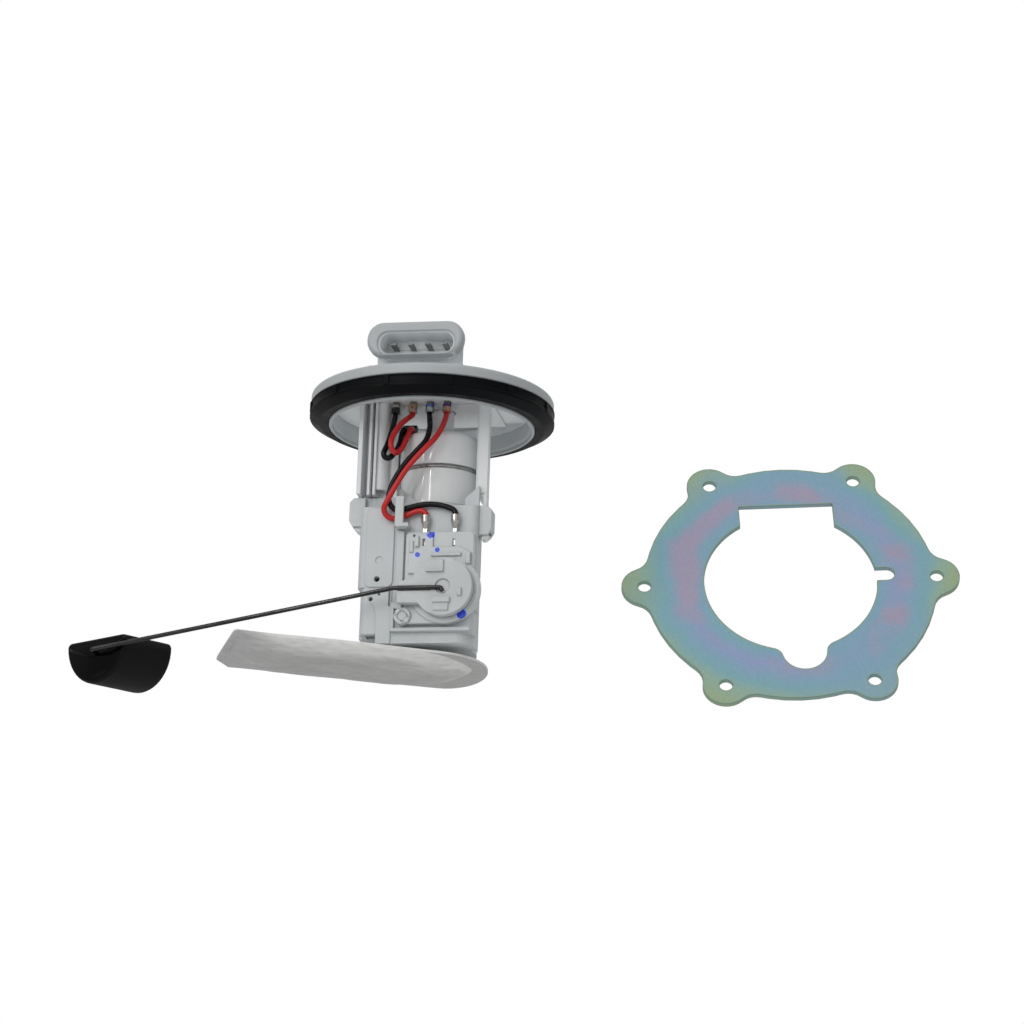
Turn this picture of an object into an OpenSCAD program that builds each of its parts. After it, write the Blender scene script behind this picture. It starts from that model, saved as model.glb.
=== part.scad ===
// In-tank fuel pump module: round flange with plug socket and outlet spigot, pump cartridge,
// level sender with float, felt inlet strainer, and the loose plate that clamps it to a tank.
// Origin: centre of the face that the seal presses on the tank. +Z points out of the tank,
// the plug socket and the sender face -Y, and the float arm reaches towards -X.

/* [Flange] */
// Diameter of the flange
flange_d = 100; // [96:1:106]
// Thickness of the flange
flange_t = 5; // [4.5:0.5:7]
// Radius on the rim of the flange
flange_edge_r = 1.5; // [0.8:0.1:2]
// Width of the rim outside the spigot
rim_w = 7.6; // [7.3:0.1:8]
// Wall of the spigot
spigot_wall = 2.2; // [1.6:0.1:2.6]
// Length of the spigot below the underside of the flange
spigot_len = 8; // [7.5:0.5:12]
// Height of the raised platform that the clamping plate fits around
platform_h = 2; // [2:0.5:5]
// Depth of the ceiling's recess, which holds the head plate of the frame
recess_h = 2.5; // [2:0.1:3]
// Depth of the ceiling behind the head plate
hollow_h = 4.5; // [3:0.1:4.8]

/* [Seal] */
// Height of the seal between flange and tank
seal_h = 7; // [6:0.5:9]
// Width of the face that the seal presses on the tank
seal_face_w = 3.6; // [3:0.1:4]
// Height of the bevel round the seal's foot
seal_bevel_h = 2.3; // [1.5:0.1:3]
// Distance that the seal stands past the rim
seal_proud = 0.4; // [0:0.1:0.8]
// Number of moulding nubs round the seal
seal_nubs = 12; // [6:1:18]

/* [Plug socket] */
// Width of the socket housing
socket_w = 40.2; // [38:0.2:43]
// Height of the socket housing
socket_h = 14.8; // [13:0.2:17]
// Width of the socket's mouth
mouth_w = 30.4; // [28:0.2:31]
// Height of the socket's mouth
mouth_h = 8.8; // [8:0.2:9.4]
// Width of the pedestal that carries the socket
pedestal_w = 35.6; // [34:0.2:37]
// Distance of the socket's mouth from the flange's centre
socket_reach = 29; // [26:0.5:32]
// Depth of the socket
socket_depth = 13.5; // [12:0.5:14]
// Height of the socket's axis above the flange
socket_up = 17.4; // [16:0.1:19]
// Offset of the socket from the flange's centre
socket_x = -1.8; // [-3:0.1:0]
// Distance between the blades
pin_pitch = 7.1; // [6.6:0.1:7.6]
// Width of a blade
pin_w = 2.2; // [1.6:0.1:2.6]
// Thickness of a blade
pin_t = 0.8; // [0.6:0.1:1.2]
// Free length of a blade in the socket
pin_free = 8; // [5:0.5:9]

/* [Outlet] */
// Diameter of the outlet stem
stem_d = 7.9; // [7:0.1:8.6]
// Bore of the outlet stem
stem_bore = 4.6; // [3:0.1:5]
// Length of the outlet stem past its block
stem_len = 26; // [22:1:36]
// Distance from the stem's tip to the bead that locks a hose connector
bead_back = 13; // [11:0.5:16]
// Height of the stem's axis above the flange
stem_up = 8; // [7.5:0.5:10]

/* [Pump cartridge] */
// Offset of the pump's axis from the flange's centre
pump_x = 4.5; // [3:0.1:5]
// Diameter of the pump's steel can
can_d = 31.2; // [30.6:0.1:31.6]
// Wall of the can
can_wall = 0.8; // [0.6:0.1:1]
// Length of the can
can_len = 64; // [62:1:68]
// Diameter of the rolled bead that shows between the two cups
can_bead_d = 33.8; // [33:0.1:34.4]
// Height of the rolled bead
can_bead_h = 1.7; // [1.2:0.1:2]
// Diameter of the upper cup
cap_d = 34.6; // [34:0.1:35.2]
// Height of the upper cup
cap_h = 14.4; // [13:0.2:16]
// Diameter of the lower sleeve
sleeve_d = 33; // [32.6:0.1:33.6]
// Depth of the upper cup's roof below the tank face
cap_top = 6; // [5:0.5:7]

/* [Motor and turbine] */
// Diameter of the armature
armature_d = 22.4; // [20:0.2:22.6]
// Length of the armature
armature_len = 22; // [18:1:24]
// Number of armature slots
armature_slots = 8; // [6:1:12]
// Diameter of the rotor shaft
shaft_d = 3; // [2.5:0.1:3.4]
// Diameter of the impeller
impeller_d = 26; // [22:0.5:26.5]
// Thickness of the impeller
impeller_t = 3; // [2.4:0.1:3.6]
// Number of vanes on the impeller
impeller_vanes = 30; // [16:2:36]
// Diameter of the commutator
commutator_d = 12; // [11:0.5:13]

/* [Housing] */
// Width of the flat front of the lower housing
front_w = 48.5; // [46:0.5:50]
// Distance of the front face from the pump's axis
front_y = 20; // [19.4:0.2:21]
// Thickness of the front wall
front_t = 3; // [2.4:0.1:3.4]
// Wall of the shell round the pump
shell_wall = 1.5; // [1.2:0.1:2]
// Depth of the shelf that the lower sleeve stands on, below the tank face
shelf_drop = 37; // [36.6:0.2:38]
// Depth of the bottom of the housing below the tank face
housing_drop = 97; // [96:0.5:99]
// Wall of the hanging columns
column_wall = 1.8; // [1.4:0.1:2]

/* [Level sender] */
// Offset of the float arm's pivot from the flange's centre
pivot_x = 13; // [12:0.2:14]
// Depth of the pivot below the tank face
pivot_drop = 75.5; // [74:0.5:77]
// Thickness of the sender's base
sender_t = 4; // [3.4:0.1:4.6]
// Radius of the round part of the sender
lobe_r = 14.3; // [13.6:0.1:15]
// Thickness of the arm holder
holder_t = 3.6; // [3:0.1:4]
// Diameter of the arm's wire
arm_d = 2; // [1.6:0.1:2.2]
// Slope of the arm below level, at the empty stop
arm_slope = 10.8; // [8:0.2:14]
// Distance from the arm's pivot to its bent end
arm_reach = 143.5; // [132:0.5:146]

/* [Float] */
// Width of the float
float_w = 33; // [28:1:36]
// Length of the float
float_len = 28; // [26:1:34]
// Height of the float
float_h = 18.5; // [17.5:0.5:24]
// Turn of the float on the arm
float_turn = 29; // [20:1:35]
// Tilt that lifts the float's far end
float_tilt = 3.4; // [0:0.2:5]

/* [Strainer] */
// Length of the felt strainer
sock_len = 109; // [100:1:114]
// Width of the felt strainer
sock_w = 39; // [32:1:40]
// Thickness of the felt strainer
sock_t = 6.5; // [5.5:0.5:8]
// Distance from the pump's axis to the strainer's rounded end
sock_tail = 22.4; // [20:0.2:25]
// Turn of the strainer from the module's width
sock_turn = 24; // [18:1:26]
// Slope of the strainer down to its far side
sock_roll = 7; // [0:0.5:8]
// Slope of the strainer down to its rounded end
sock_pitch = 0.8; // [0:0.2:2]
// Width of the heat-sealed margin
sock_margin = 4; // [3:0.5:5]

/* [Clamping plate] */
// Circle of the plate's bolt holes
plate_pcd = 122; // [120:0.5:124]
// Diameter of a bolt hole
plate_hole_d = 5.5; // [5:0.1:6.6]
// Outside radius of the plate's ring
plate_r = 60.7; // [59:0.1:61.5]
// Radius of an ear round a bolt hole
ear_r = 9.6; // [9:0.1:10]
// Radius of the hollow between an ear and the ring
ear_fillet = 8; // [6:0.5:9]
// Thickness of the plate
plate_t = 2; // [1.6:0.1:3]
// Diameter of the plate's opening
plate_open_d = 72; // [71:0.2:73]
// Width of the notch for the plug socket
notch_w = 39.6; // [39:0.2:41]
// Reach of the notch from the plate's centre
notch_reach = 41; // [40:0.2:42]
// Radius of the notch for the outlet
outlet_notch_r = 9.2; // [8.4:0.1:10]
// Radius that blends the outlet's notch into the opening
notch_fillet = 5; // [3:0.5:7]
// Width of the slot for the locating key
key_w = 6.6; // [5:0.2:8]
// Reach of the slot past the opening
key_reach = 7.6; // [6:0.2:9]

/* [Hidden] */
$fn = 64;

// Clearances
fit_gap = 0.05;      // seated pieces of one body
run_gap = 0.04;      // running fits
move_gap = 0.4;      // pieces that pass each other
cut = 1;             // overshoot of a cut

// Heights above the tank face
under_z = seal_h;
top_z = under_z + flange_t;
deck_z = top_z + platform_h;
recess_z = under_z + recess_h;
socket_z = top_z + socket_up;
stem_z = top_z + stem_up;
cap_z = -cap_top;
bead_z = cap_z - cap_h;
shelf_z = -shelf_drop;
bottom_z = -housing_drop;
can_top_z = cap_z - 6;
can_bottom_z = can_top_z - can_len;

// Radii
flange_r = flange_d / 2;
spigot_r = flange_r - rim_w;
ceiling_r = spigot_r - spigot_wall;
can_r = can_d / 2;
can_in = can_r - can_wall;
part_in = can_in - fit_gap;
shell_in = can_r + 0.4;
shell_r = shell_in + shell_wall;
stem_r = stem_d / 2;

// Colours
white = [0.86, 0.88, 0.88];
clear_white = [0.82, 0.86, 0.88];
black = [0.07, 0.07, 0.08];
steel = [0.72, 0.72, 0.72];
copper = [0.72, 0.45, 0.25];
zinc = [0.55, 0.66, 0.66];
felt = [0.88, 0.88, 0.85];

// Points along an arc, both ends included
function arc(c, r, from, to, steps = 6) =
  [for (i = [0:steps]) let (a = from + (to - from) * i / steps) c + r * [cos(a), sin(a)]];

// Outline of a rounded rectangle between two corners
function round_rect(lo, hi, r, steps = 4) = concat(
  arc([hi[0] - r, hi[1] - r], r, 0, 90, steps), arc([lo[0] + r, hi[1] - r], r, 90, 180, steps),
  arc([lo[0] + r, lo[1] + r], r, 180, 270, steps), arc([hi[0] - r, lo[1] + r], r, 270, 360, steps));

// A block between two corners
module block(lo, hi) {
  translate(lo) cube(hi - lo);
}

// A disc or bar along Z between two heights
module rod(r, z0, z1, x = 0, y = 0) {
  translate([x, y, z0]) cylinder(r = r, h = z1 - z0);
}

// A tube along Z between two heights
module pipe(r, bore, z0, z1, x = 0, y = 0) {
  translate([x, y, z0]) rotate_extrude() translate([bore, 0]) square([r - bore, z1 - z0]);
}

// A shape extruded towards +Y from y0 to y1, drawn in X and Z
module along_y(y0, y1) {
  translate([0, y1, 0]) rotate([90, 0, 0]) linear_extrude(y1 - y0) children();
}

// A helix of wire along Z, swept as a mesh
module coil_spring(r, wire_r, z0, z1, turns, steps = 12, sides = 6) {
  rings = turns * steps;
  points = [for (i = [0:rings]) for (k = [0:sides - 1])
    let (a = 360 * i / steps, b = 360 * k / sides, q = r + wire_r * cos(b))
    [q * cos(a), q * sin(a), z0 + wire_r + (z1 - z0 - 2 * wire_r) * i / rings + wire_r * sin(b)]];
  sides_faces = [for (i = [0:rings - 1]) for (k = [0:sides - 1])
    let (n = (k + 1) % sides)
    [i * sides + k, i * sides + n, (i + 1) * sides + n, (i + 1) * sides + k]];
  first = [for (k = [0:sides - 1]) sides - 1 - k];
  last = [for (k = [0:sides - 1]) rings * sides + k];
  polyhedron(points, concat([first], sides_faces, [last]));
}

// Unit vector
function unit(v) = v / norm(v);

// Direction of a route at each of its points
function heading(p, i) = unit(p[min(i + 1, len(p) - 1)] - p[max(i - 1, 0)]);

// A side vector at each point of a route, carried along without twist
function side_vectors(p, i, previous) = i == len(p) ? [] :
  let (t = heading(p, i), s = unit(previous - t * (previous * t)))
  concat([s], side_vectors(p, i + 1, s));

// A cord swept along a route
module cord(p, r, sides = 8) {
  s = side_vectors(p, 0, [0.9, 0.1, 0.43]);
  points = [for (i = [0:len(p) - 1]) let (t = heading(p, i), n = cross(t, s[i]))
    for (k = [0:sides - 1]) p[i] + r * (s[i] * cos(360 * k / sides) + n * sin(360 * k / sides))];
  walls = [for (i = [0:len(p) - 2]) for (k = [0:sides - 1]) let (n = (k + 1) % sides)
    [i * sides + k, (i + 1) * sides + k, (i + 1) * sides + n, i * sides + n]];
  first = [for (k = [0:sides - 1]) k];
  last = [for (k = [0:sides - 1]) (len(p) - 1) * sides + sides - 1 - k];
  polyhedron(points, concat([first], walls, [last]));
}

// Plug socket's pins and the crimps below them, one place for all
pin_xs = [for (i = [0:3]) socket_x + (i - 1.5) * pin_pitch];
pin_y = -13.5;
crimp_top = under_z;
crimp_foot = 2.2;
crimp_r = 1.75;
wire_r = 1.15;
socket_floor = -socket_reach + socket_depth;

// Outline that locates the plate, drawn as the flange has it: socket at -Y, outlet at +Y, key at +X
module key_outline(grow) {
  open_r = plate_open_d / 2;
  r = open_r + grow;
  notch_at = [pump_x - 1.5, open_r + 0.7];
  d = norm(notch_at);
  a = open_r + notch_fillet;
  b = outlet_notch_r + notch_fillet;
  half = acos((a * a + d * d - b * b) / (2 * a * d));
  bearing = atan2(notch_at[1], notch_at[0]);
  right = a * [cos(bearing - half), sin(bearing - half)];
  left = a * [cos(bearing + half), sin(bearing + half)];
  right_turn = atan2(right[1] - notch_at[1], right[0] - notch_at[0]);
  left_turn = atan2(notch_at[1] - left[1], notch_at[0] - left[0]) + 180;
  side = [notch_x - notch_w / 2 - grow, notch_x + notch_w / 2 + grow];
  key_half = key_w / 2 + grow;
  polygon(concat([[side[0], -notch_reach - grow], [side[1], -notch_reach - grow]],
    arc([0, 0], r, -acos(side[1] / r), asin((key_y - key_half) / r), 14),
    arc([open_r + key_reach - key_w / 2, key_y], key_half, -90, 90, 10),
    arc([0, 0], r, asin((key_y + key_half) / r), bearing - half, 16),
    arc(right, notch_fillet - grow, bearing - half + 180, right_turn + 180, 5),
    arc(notch_at, outlet_notch_r + grow, right_turn, left_turn, 18),
    arc(left, notch_fillet - grow, left_turn - 180, bearing + half - 180, 5),
    arc([0, 0], r, bearing + half, 360 - acos(side[0] / r), 30)));
}
notch_x = 0.9;
key_y = -2.2;
plate_play = 0.5;

// Flange with the plug socket, the outlet stem and the spigot
module flange() color(white) difference() {
  union() {
    rotate_extrude($fn = 128) polygon(concat(
      [[0, under_z], [ceiling_r, under_z], [ceiling_r, under_z - spigot_len + 2],
       [ceiling_r + 0.8, under_z - spigot_len + 1.2], [ceiling_r + 0.8, under_z - spigot_len + 0.3],
       [ceiling_r + 1.1, under_z - spigot_len], [spigot_r - 0.6, under_z - spigot_len],
       [spigot_r, under_z - spigot_len + 0.6], [spigot_r, under_z],
       [flange_r - 0.6, under_z], [flange_r, under_z + 0.6]],
      arc([flange_r - flange_edge_r, top_z - flange_edge_r], flange_edge_r, 0, 90),
      [[0, top_z]]));
    translate([0, 0, top_z - cut]) linear_extrude(platform_h + cut) key_outline(-plate_play);
    translate([socket_x, 0, 0]) socket_body();
    outlet_body();
    deck_ribs();
  }
  ceiling_recess();
  translate([socket_x, 0, 0]) {
    along_y(-socket_reach - cut, socket_floor) polygon(stadium(mouth_w, mouth_h, mouth_z));
    hull() {
      along_y(-socket_reach - 0.1, -socket_reach) polygon(stadium(mouth_w + 2.4, mouth_h + 1.4, mouth_z));
      along_y(-socket_reach + 1.2, -socket_reach + 1.3) polygon(stadium(mouth_w, mouth_h, mouth_z));
    }
  }
  for (x = pin_xs) translate([x, 0, 0]) pin_shape(fit_gap);
  rod(cap_stem_r + fit_gap, under_z - cut, stem_z, pump_x);
  translate([pump_x, 0, stem_z]) rotate([-90, 0, 0]) cylinder(d = stem_bore, h = stem_tip_y + cut);
}
mouth_z = socket_z - 1.8;
blade_z = socket_z - 0.7;
pedestal_front = -19.5;
pedestal_back = -6;
pedestal_draft = 2.8;
collar_x = -0.6;
stem_root_y = 38;
stem_tip_y = stem_root_y + stem_len;
stem_block_r = 6.5;
bead_r = stem_r + 1.1;
cap_stem_r = 4.1;
recess_front_y = 18;

// Outline of a socket's mouth or housing, in X and Z about a height
function stadium(w, h, z) = round_rect([-w / 2, z - h / 2], [w / 2, z + h / 2], h / 2 - 0.4, 6);

// Housing and pedestal of the plug socket: a rounded collar, a narrower body and a foot
module socket_body() {
  roof = socket_z + socket_h / 2;
  half = pedestal_w / 2;
  front = -socket_reach;
  hull() for (step = [[0, 0.1, 2.8], [0.6, 0.7, 0.8], [1.8, 4.5, 0]])
    translate([collar_x, 0, 0]) along_y(front + step[0], front + step[1])
      polygon(stadium(socket_w - step[2], socket_h - step[2], socket_z));
  along_y(front + 4, socket_floor - 1.5) polygon(stadium(socket_w - 5.4, socket_h - 1.2, socket_z));
  translate([0, 0, top_z - cut]) linear_extrude(socket_up + cut) polygon([[-half, pedestal_front],
    [half, pedestal_front], [half - pedestal_draft, pedestal_back], [pedestal_draft - half, pedestal_back]]);
  along_y(front + 5, socket_floor - 1.5)
    polygon([[-4, roof - cut], [4, roof - cut], [3.2, roof + 0.8], [-3.2, roof + 0.8]]);
  for (s = [-1, 1]) block([s * 12 - 0.8, pedestal_back - 1, top_z - cut], [s * 12 + 0.8, 4, deck_z + 4]);
}

// Gallery over the platform and the stem that a hose connector pushes on
module outlet_body() {
  block([pump_x - 5.5, -6, top_z - cut], [pump_x + 5.5, stem_root_y, stem_z]);
  translate([pump_x, 0, stem_z]) rotate([-90, 0, 0]) {
    translate([0, 0, -6]) cylinder(r = stem_block_r, h = stem_root_y + 6 - 0.5);
    translate([0, 0, stem_root_y - cut]) rotate_extrude() polygon([[0, 0], [stem_r, 0],
      [stem_r, stem_len + cut - bead_back - 2], [bead_r, stem_len + cut - bead_back - 1.4],
      [bead_r, stem_len + cut - bead_back], [stem_r, stem_len + cut - bead_back + 0.6],
      [stem_r, stem_len + cut - 1.2], [stem_r - 0.7, stem_len + cut], [0, stem_len + cut]]);
  }
}

// Stiffening ribs on the platform
module deck_ribs() {
  for (s = [-1, 1]) {
    block([s * 20 - 0.8, 6, top_z - cut], [s * 20 + 0.8, 26, deck_z + 2]);
    block([min(s * 8, s * 28), 15.2, top_z - cut], [max(s * 8, s * 28), 16.8, deck_z + 2]);
  }
}

// Recess behind the terminals that takes the head plate of the hanging frame, deeper behind it
module ceiling_recess() {
  intersection() {
    rod(ceiling_r - 0.8, under_z - cut, under_z + hollow_h);
    union() {
      block([-flange_r, recess_front_y, under_z - cut], [flange_r, head_hi[1] + fit_gap, recess_z]);
      block([-flange_r, head_hi[1], under_z - cut], [flange_r, flange_r, under_z + hollow_h]);
      block([head_lo[0] - fit_gap, head_lo[1] - fit_gap, under_z - cut],
        [head_hi[0] + fit_gap, recess_front_y + cut, recess_z]);
    }
  }
}

// One L-shaped blade: free in the socket, bent down through the flange
module pin_shape(grow) {
  block([-pin_w / 2 - grow, socket_floor - (grow > 0 ? cut : pin_free), blade_z - pin_t / 2 - grow],
    [pin_w / 2 + grow, pin_y + pin_t / 2 + grow, blade_z + pin_t / 2 + grow]);
  block([-pin_w / 2 - grow, pin_y - pin_t / 2 - grow, crimp_top - (grow > 0 ? cut : 1.4)],
    [pin_w / 2 + grow, pin_y + pin_t / 2 + grow, blade_z + pin_t / 2 + grow]);
}

// Four contact blades of the plug socket
module connector_pins() color(steel) for (x = pin_xs) translate([x, 0, 0]) pin_shape(0);

// Four crimps under the flange, which hold the wires
module flange_terminals() color(copper) for (x = pin_xs) translate([x, pin_y, 0]) {
  difference() {
    union() {
      rod(crimp_r, crimp_foot, crimp_top - 1.6);
      block([-pin_w / 2 - 0.4, 0.5, crimp_foot], [pin_w / 2 + 0.4, 1.9, crimp_top - fit_gap]);
    }
    rod(wire_r + fit_gap, crimp_foot - cut, crimp_top - 2.4);
  }
}

// Rubber seal under the rim of the flange
module flange_seal() color(black) {
  seal_in = spigot_r + 0.3;
  seal_out = flange_r + seal_proud;
  rotate_extrude($fn = 128) polygon([[seal_in, 0], [seal_in + seal_face_w, 0],
    [seal_out, seal_bevel_h], [seal_out, seal_bevel_h + 1.2], [seal_out - 0.35, seal_bevel_h + 1.5],
    [seal_out - 0.35, seal_h - 0.8], [seal_out, seal_h - 0.5], [seal_out, seal_h], [seal_in, seal_h]]);
  for (i = [0:seal_nubs - 1]) rotate([0, 0, i * 360 / seal_nubs - 10])
    block([seal_out - 1, -1.1, seal_bevel_h + 0.4], [seal_out + 0.25, 1.1, seal_h - 0.3]);
}

// Outline of the clamping plate: a ring with six ears, blended by hollows
function plate_outline() =
  let (ear_c = plate_pcd / 2, hollow_c = plate_r + ear_fillet, reach = ear_r + ear_fillet,
    turn = acos((ear_c * ear_c + hollow_c * hollow_c - reach * reach) / (2 * ear_c * hollow_c)),
    hollow = hollow_c * [cos(turn), sin(turn)],
    meet = atan2(hollow[1], hollow[0] - ear_c))
  [for (k = [0:plate_ears - 1]) for (q = concat(
      arc(hollow_c * [cos(turn), -sin(turn)], ear_fillet, 180 - turn, 180 - meet, 4),
      arc([ear_c, 0], ear_r, -meet, meet, 12),
      arc(hollow, ear_fillet, 180 + meet, 180 + turn, 4),
      arc([0, 0], plate_r, turn + 3, 360 / plate_ears - turn - 3, 4)))
    let (a = 360 * k / plate_ears) [q[0] * cos(a) - q[1] * sin(a), q[0] * sin(a) + q[1] * cos(a)]];
plate_ears = 6;

// Loose steel plate that clamps the flange to the tank; it lies beside the module
module retaining_plate() color(zinc) translate(plate_at) rotate([90 - plate_lean, 0, plate_facing])
  rotate([0, 0, plate_spin]) difference() {
    linear_extrude(plate_t) polygon(plate_outline());
    translate([0, 0, -cut]) linear_extrude(plate_t + 2 * cut) mirror([0, 1]) key_outline(0);
    for (k = [0:plate_ears - 1]) rotate([0, 0, 360 * k / plate_ears])
      rod(plate_hole_d / 2, -cut, plate_t + cut, plate_pcd / 2);
  }
plate_at = [141.3, 66, -50.8];
plate_lean = 22.9;
plate_facing = 8.7;
plate_spin = 4.4;

// Column places
column_left = -26.6;
column_front = -17.4;
web_right = -11.6;
column_right_in = -13.2;
column_back = 6;
web_y = -9;
pillar_lo = [22.9, -15];
pillar_hi = [27.2, -12.6];
pillar_web_x = 22.2;
column_foot = shelf_z + 4;
head_lo = [-26.6, -9];
head_hi = [27.2, 20];
head_z = under_z - 0.8;
head_marks = [[-10.4, -7.8], [-3.7, -7.8], [4, -8], [11.4, -7.2]];
reg_x = (column_left + column_right_in) / 2;
reg_y = (web_y + column_back) / 2;
reg_r = 4.7;
reg_top = -19;
reg_foot = column_foot - 0.35;
tongue_y = [-13, -5];
tongue_foot = -47.8;
right_tongue_y = [-14.8, -10.8];
right_tongue_foot = -52.8;
hook_h = 1.8;
pillar_back = 5;
guide_tube_x = -18.1;
guide_tube_y = web_y - 2.2;
guide_tube_r = 3;

// Frame that hangs from the flange: head plate, left column with its guide tube, right pillar
module upper_frame() color(white) difference() {
  union() {
    intersection() {
      block([head_lo[0], head_lo[1], head_z], [head_hi[0], head_hi[1], recess_z - fit_gap]);
      rod(ceiling_r - 0.9, under_z - cut, recess_z);
    }
    post([column_left, column_front], [column_left + column_wall, column_back]);
    post([column_left, web_y], [web_right, web_y + column_wall]);
    post([column_right_in - column_wall, web_y], [column_right_in, column_back]);
    post([column_left, column_back - column_wall], [column_right_in, column_back]);
    for (x = [-22.7, -20.4]) post([x, column_front + 2], [x + 1.1, web_y + 0.5]);
    rod(guide_tube_r, -30.4, under_z - fit_gap, guide_tube_x, guide_tube_y);
    post(pillar_lo, pillar_hi);
    post([pillar_web_x, pillar_lo[1] + 1], [pillar_web_x + column_wall, pillar_back]);
    block([column_left + 1, web_y + 1, reg_top], [column_right_in - 1, column_back - 1, reg_top + 2]);
    tongue(column_left, 1, tongue_y[0], tongue_y[1], tongue_foot);
    tongue(pillar_hi[0], -1, right_tongue_y[0], right_tongue_y[1], right_tongue_foot);
  }
  rod(cap_stem_r + 1.2, head_z - cut, recess_z + cut, pump_x);
  for (p = head_marks) rod(0.5, head_z - cut, under_z + 0.4, p[0], p[1]);
  rod(1.9, -31, head_z - 1.2, guide_tube_x, guide_tube_y);
  rod(1.5, reg_top - cut, reg_top + 3, reg_x, reg_y);
}

// One wall of a column, from the ceiling to the column's foot
module post(lo, hi) {
  block([lo[0], lo[1], column_foot], [hi[0], hi[1], under_z - fit_gap]);
}

// Snap tongue that hangs from a column and hooks under the housing's collar
module tongue(face, side, y0, y1, foot) {
  along_y(y0, y1) polygon([[face, column_foot + cut], [face + side * 1.6, column_foot + cut],
    [face + side * 1.6, foot], [face + side * 0.3, foot], [face - side * 1.5, foot + hook_h - 0.4],
    [face - side * 1.5, foot + hook_h], [face, foot + hook_h]]);
}

// Heights and places in the lower housing
front_left = 0.25 - front_w / 2;
front_right = 0.25 + front_w / 2;
front_back = -front_y + front_t;
step_z = -73.5;
foot_z = -93;
chamber_lo = [front_left, -12];
chamber_hi = [-8, 8];
chamber_top_z = column_foot - 0.4;

// Lower housing: shell round the pump, flat front for the sender, side chamber and snap collars
module lower_housing() color(white) difference() {
  union() {
    rod(shell_r, bottom_z, shelf_z, pump_x);
    front_box(front_left, front_right, step_z, shelf_z - 2.5);
    front_box(front_left + 1.6, front_right + 0.5, -83, step_z);
    front_box(front_left + 1.6, front_right - 0.5, foot_z, -82);
    front_apron();
    block([chamber_lo[0], chamber_lo[1], foot_z], [chamber_hi[0], chamber_hi[1], chamber_top_z]);
    block([front_right - 4, -13, -90], [front_right - 2, -4, shelf_z - 6]);
    front_panels();
    back_ribs();
    cradle();
    collar(column_left, 1, tongue_y, tongue_foot + hook_h, -34, 3.1);
    collar(pillar_hi[0], -1, right_tongue_y, right_tongue_foot + hook_h, -38.8, 2.5);
    wire_hook();
    pocket_frame();
  }
  rod(shell_in, bottom_z + 2, shelf_z + cut, pump_x);
  rod(mount_r + fit_gap, bottom_z - cut, bottom_z + 3, pump_x);
  rod(sleeve_d / 2 + move_gap, shelf_z, shelf_z + 5, pump_x);
  block([chamber_lo[0] + column_wall, chamber_lo[1] + column_wall, foot_z + column_wall],
    [pump_x - shell_r - 0.6, chamber_hi[1] + cut, chamber_top_z - column_wall]);
  rod(1.5, chamber_top_z - 3, chamber_top_z + cut, reg_x, reg_y);
  front_hole(-15.7, -70.1, 2.3);
  front_hole(-17.9, -78.4, 1.8);
  translate([-15.1, -front_y - cut, -62.2]) rotate([-90, 0, 0]) cylinder(d = 3, h = cut - panel_h + 0.3);
  block([-10.5, -front_y - cut, -81.5], [-9.7, -front_y + 0.7, -74]);
}
panel_h = 0.6;

// A front wall with rounded corners and short side walls, open to the back
module front_box(x0, x1, z0, z1, r = 2.6, side = 2) {
  translate([0, 0, z0]) linear_extrude(z1 - z0) polygon(concat(
    arc([x0 + r, -front_y + r], r, 180, 270), arc([x1 - r, -front_y + r], r, 270, 360),
    [[x1, -12], [x1 - side, -12], [x1 - side, front_back], [x0 + side, front_back],
     [x0 + side, -12], [x0, -12]]));
}

// Foot of the front, rounded into the shell
module front_apron(x0 = -14.6, x1 = 23.6) {
  translate([0, 0, bottom_z]) linear_extrude(foot_z - bottom_z + cut) polygon(concat(
    [[x0, -9]], arc([x0 + 5, -front_y + 5], 5, 180, 270),
    arc([x1 - 7, -front_y + 7], 7, 270, 360), [[x1, -7]]));
}

// Through hole in the front wall
module front_hole(x, z, d) {
  translate([x, -front_y - cut, z]) rotate([-90, 0, 0]) cylinder(d = d, h = front_t + 2 * cut);
}

// A pad that stands out from the front wall
module pad(h) {
  along_y(-front_y - h, -front_y + 0.5) children();
}

// Raised panels on the left of the front
module front_panels() {
  pad(panel_h) polygon(round_rect([-20.8, -73.4], [-9.3, shelf_z - 3.2], 2.4));
  pad(panel_h) polygon([[-9.3, -74.8], [-18.6, -74.8], [-19.3, -75.5], [-19.3, -76.8], [-17.9, -79.6],
    [-16.3, -81.8], [-15.6, -84.5], [-15.3, bottom_z], [-9.3, bottom_z]]);
}

// Ribs down the back of the shell
module back_ribs() {
  for (a = [35, 90, 145]) translate([pump_x, 0, 0]) rotate([0, 0, a])
    block([shell_r - 0.6, -0.8, bottom_z + 4], [shell_r + 1.6, 0.8, shelf_z - 3]);
}

// Sloping cheeks in front of the lower sleeve
module cradle() {
  along_y(front_back - 0.2, front_back + 1.6) polygon([[pump_x + 14, shelf_z - 6], [pump_x + 14, shelf_z + 1],
    [front_right, shelf_z + 6.4], [front_right, shelf_z - 6]]);
  along_y(front_back - 0.2, front_back + 0.8) polygon([[pump_x - 4.6, shelf_z - 6],
    [pump_x - 4.6, shelf_z - 0.8], [pump_x - 12.4, shelf_z + 6], [pump_x - 13.2, shelf_z + 6],
    [pump_x - 13.2, shelf_z - 6]]);
}

// Collar that a snap tongue passes through, bevelled outside
module collar(face, side, y_span, z0, z1, reach) {
  out = face - side * reach;
  in = face + side * 3.4;
  difference() {
    along_y(y_span[0] - 1.6, y_span[1] + 1.6) polygon([[in, z0], [out + side * 1.4, z0], [out, z0 + 2.4],
      [out, z1 - 1.8], [out + side * 1.8, z1], [in, z1]]);
    block([face - 1.75, y_span[0] - 0.15, z0 - cut], [face + 1.75, y_span[1] + 0.15, z1 + cut]);
  }
}

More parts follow.
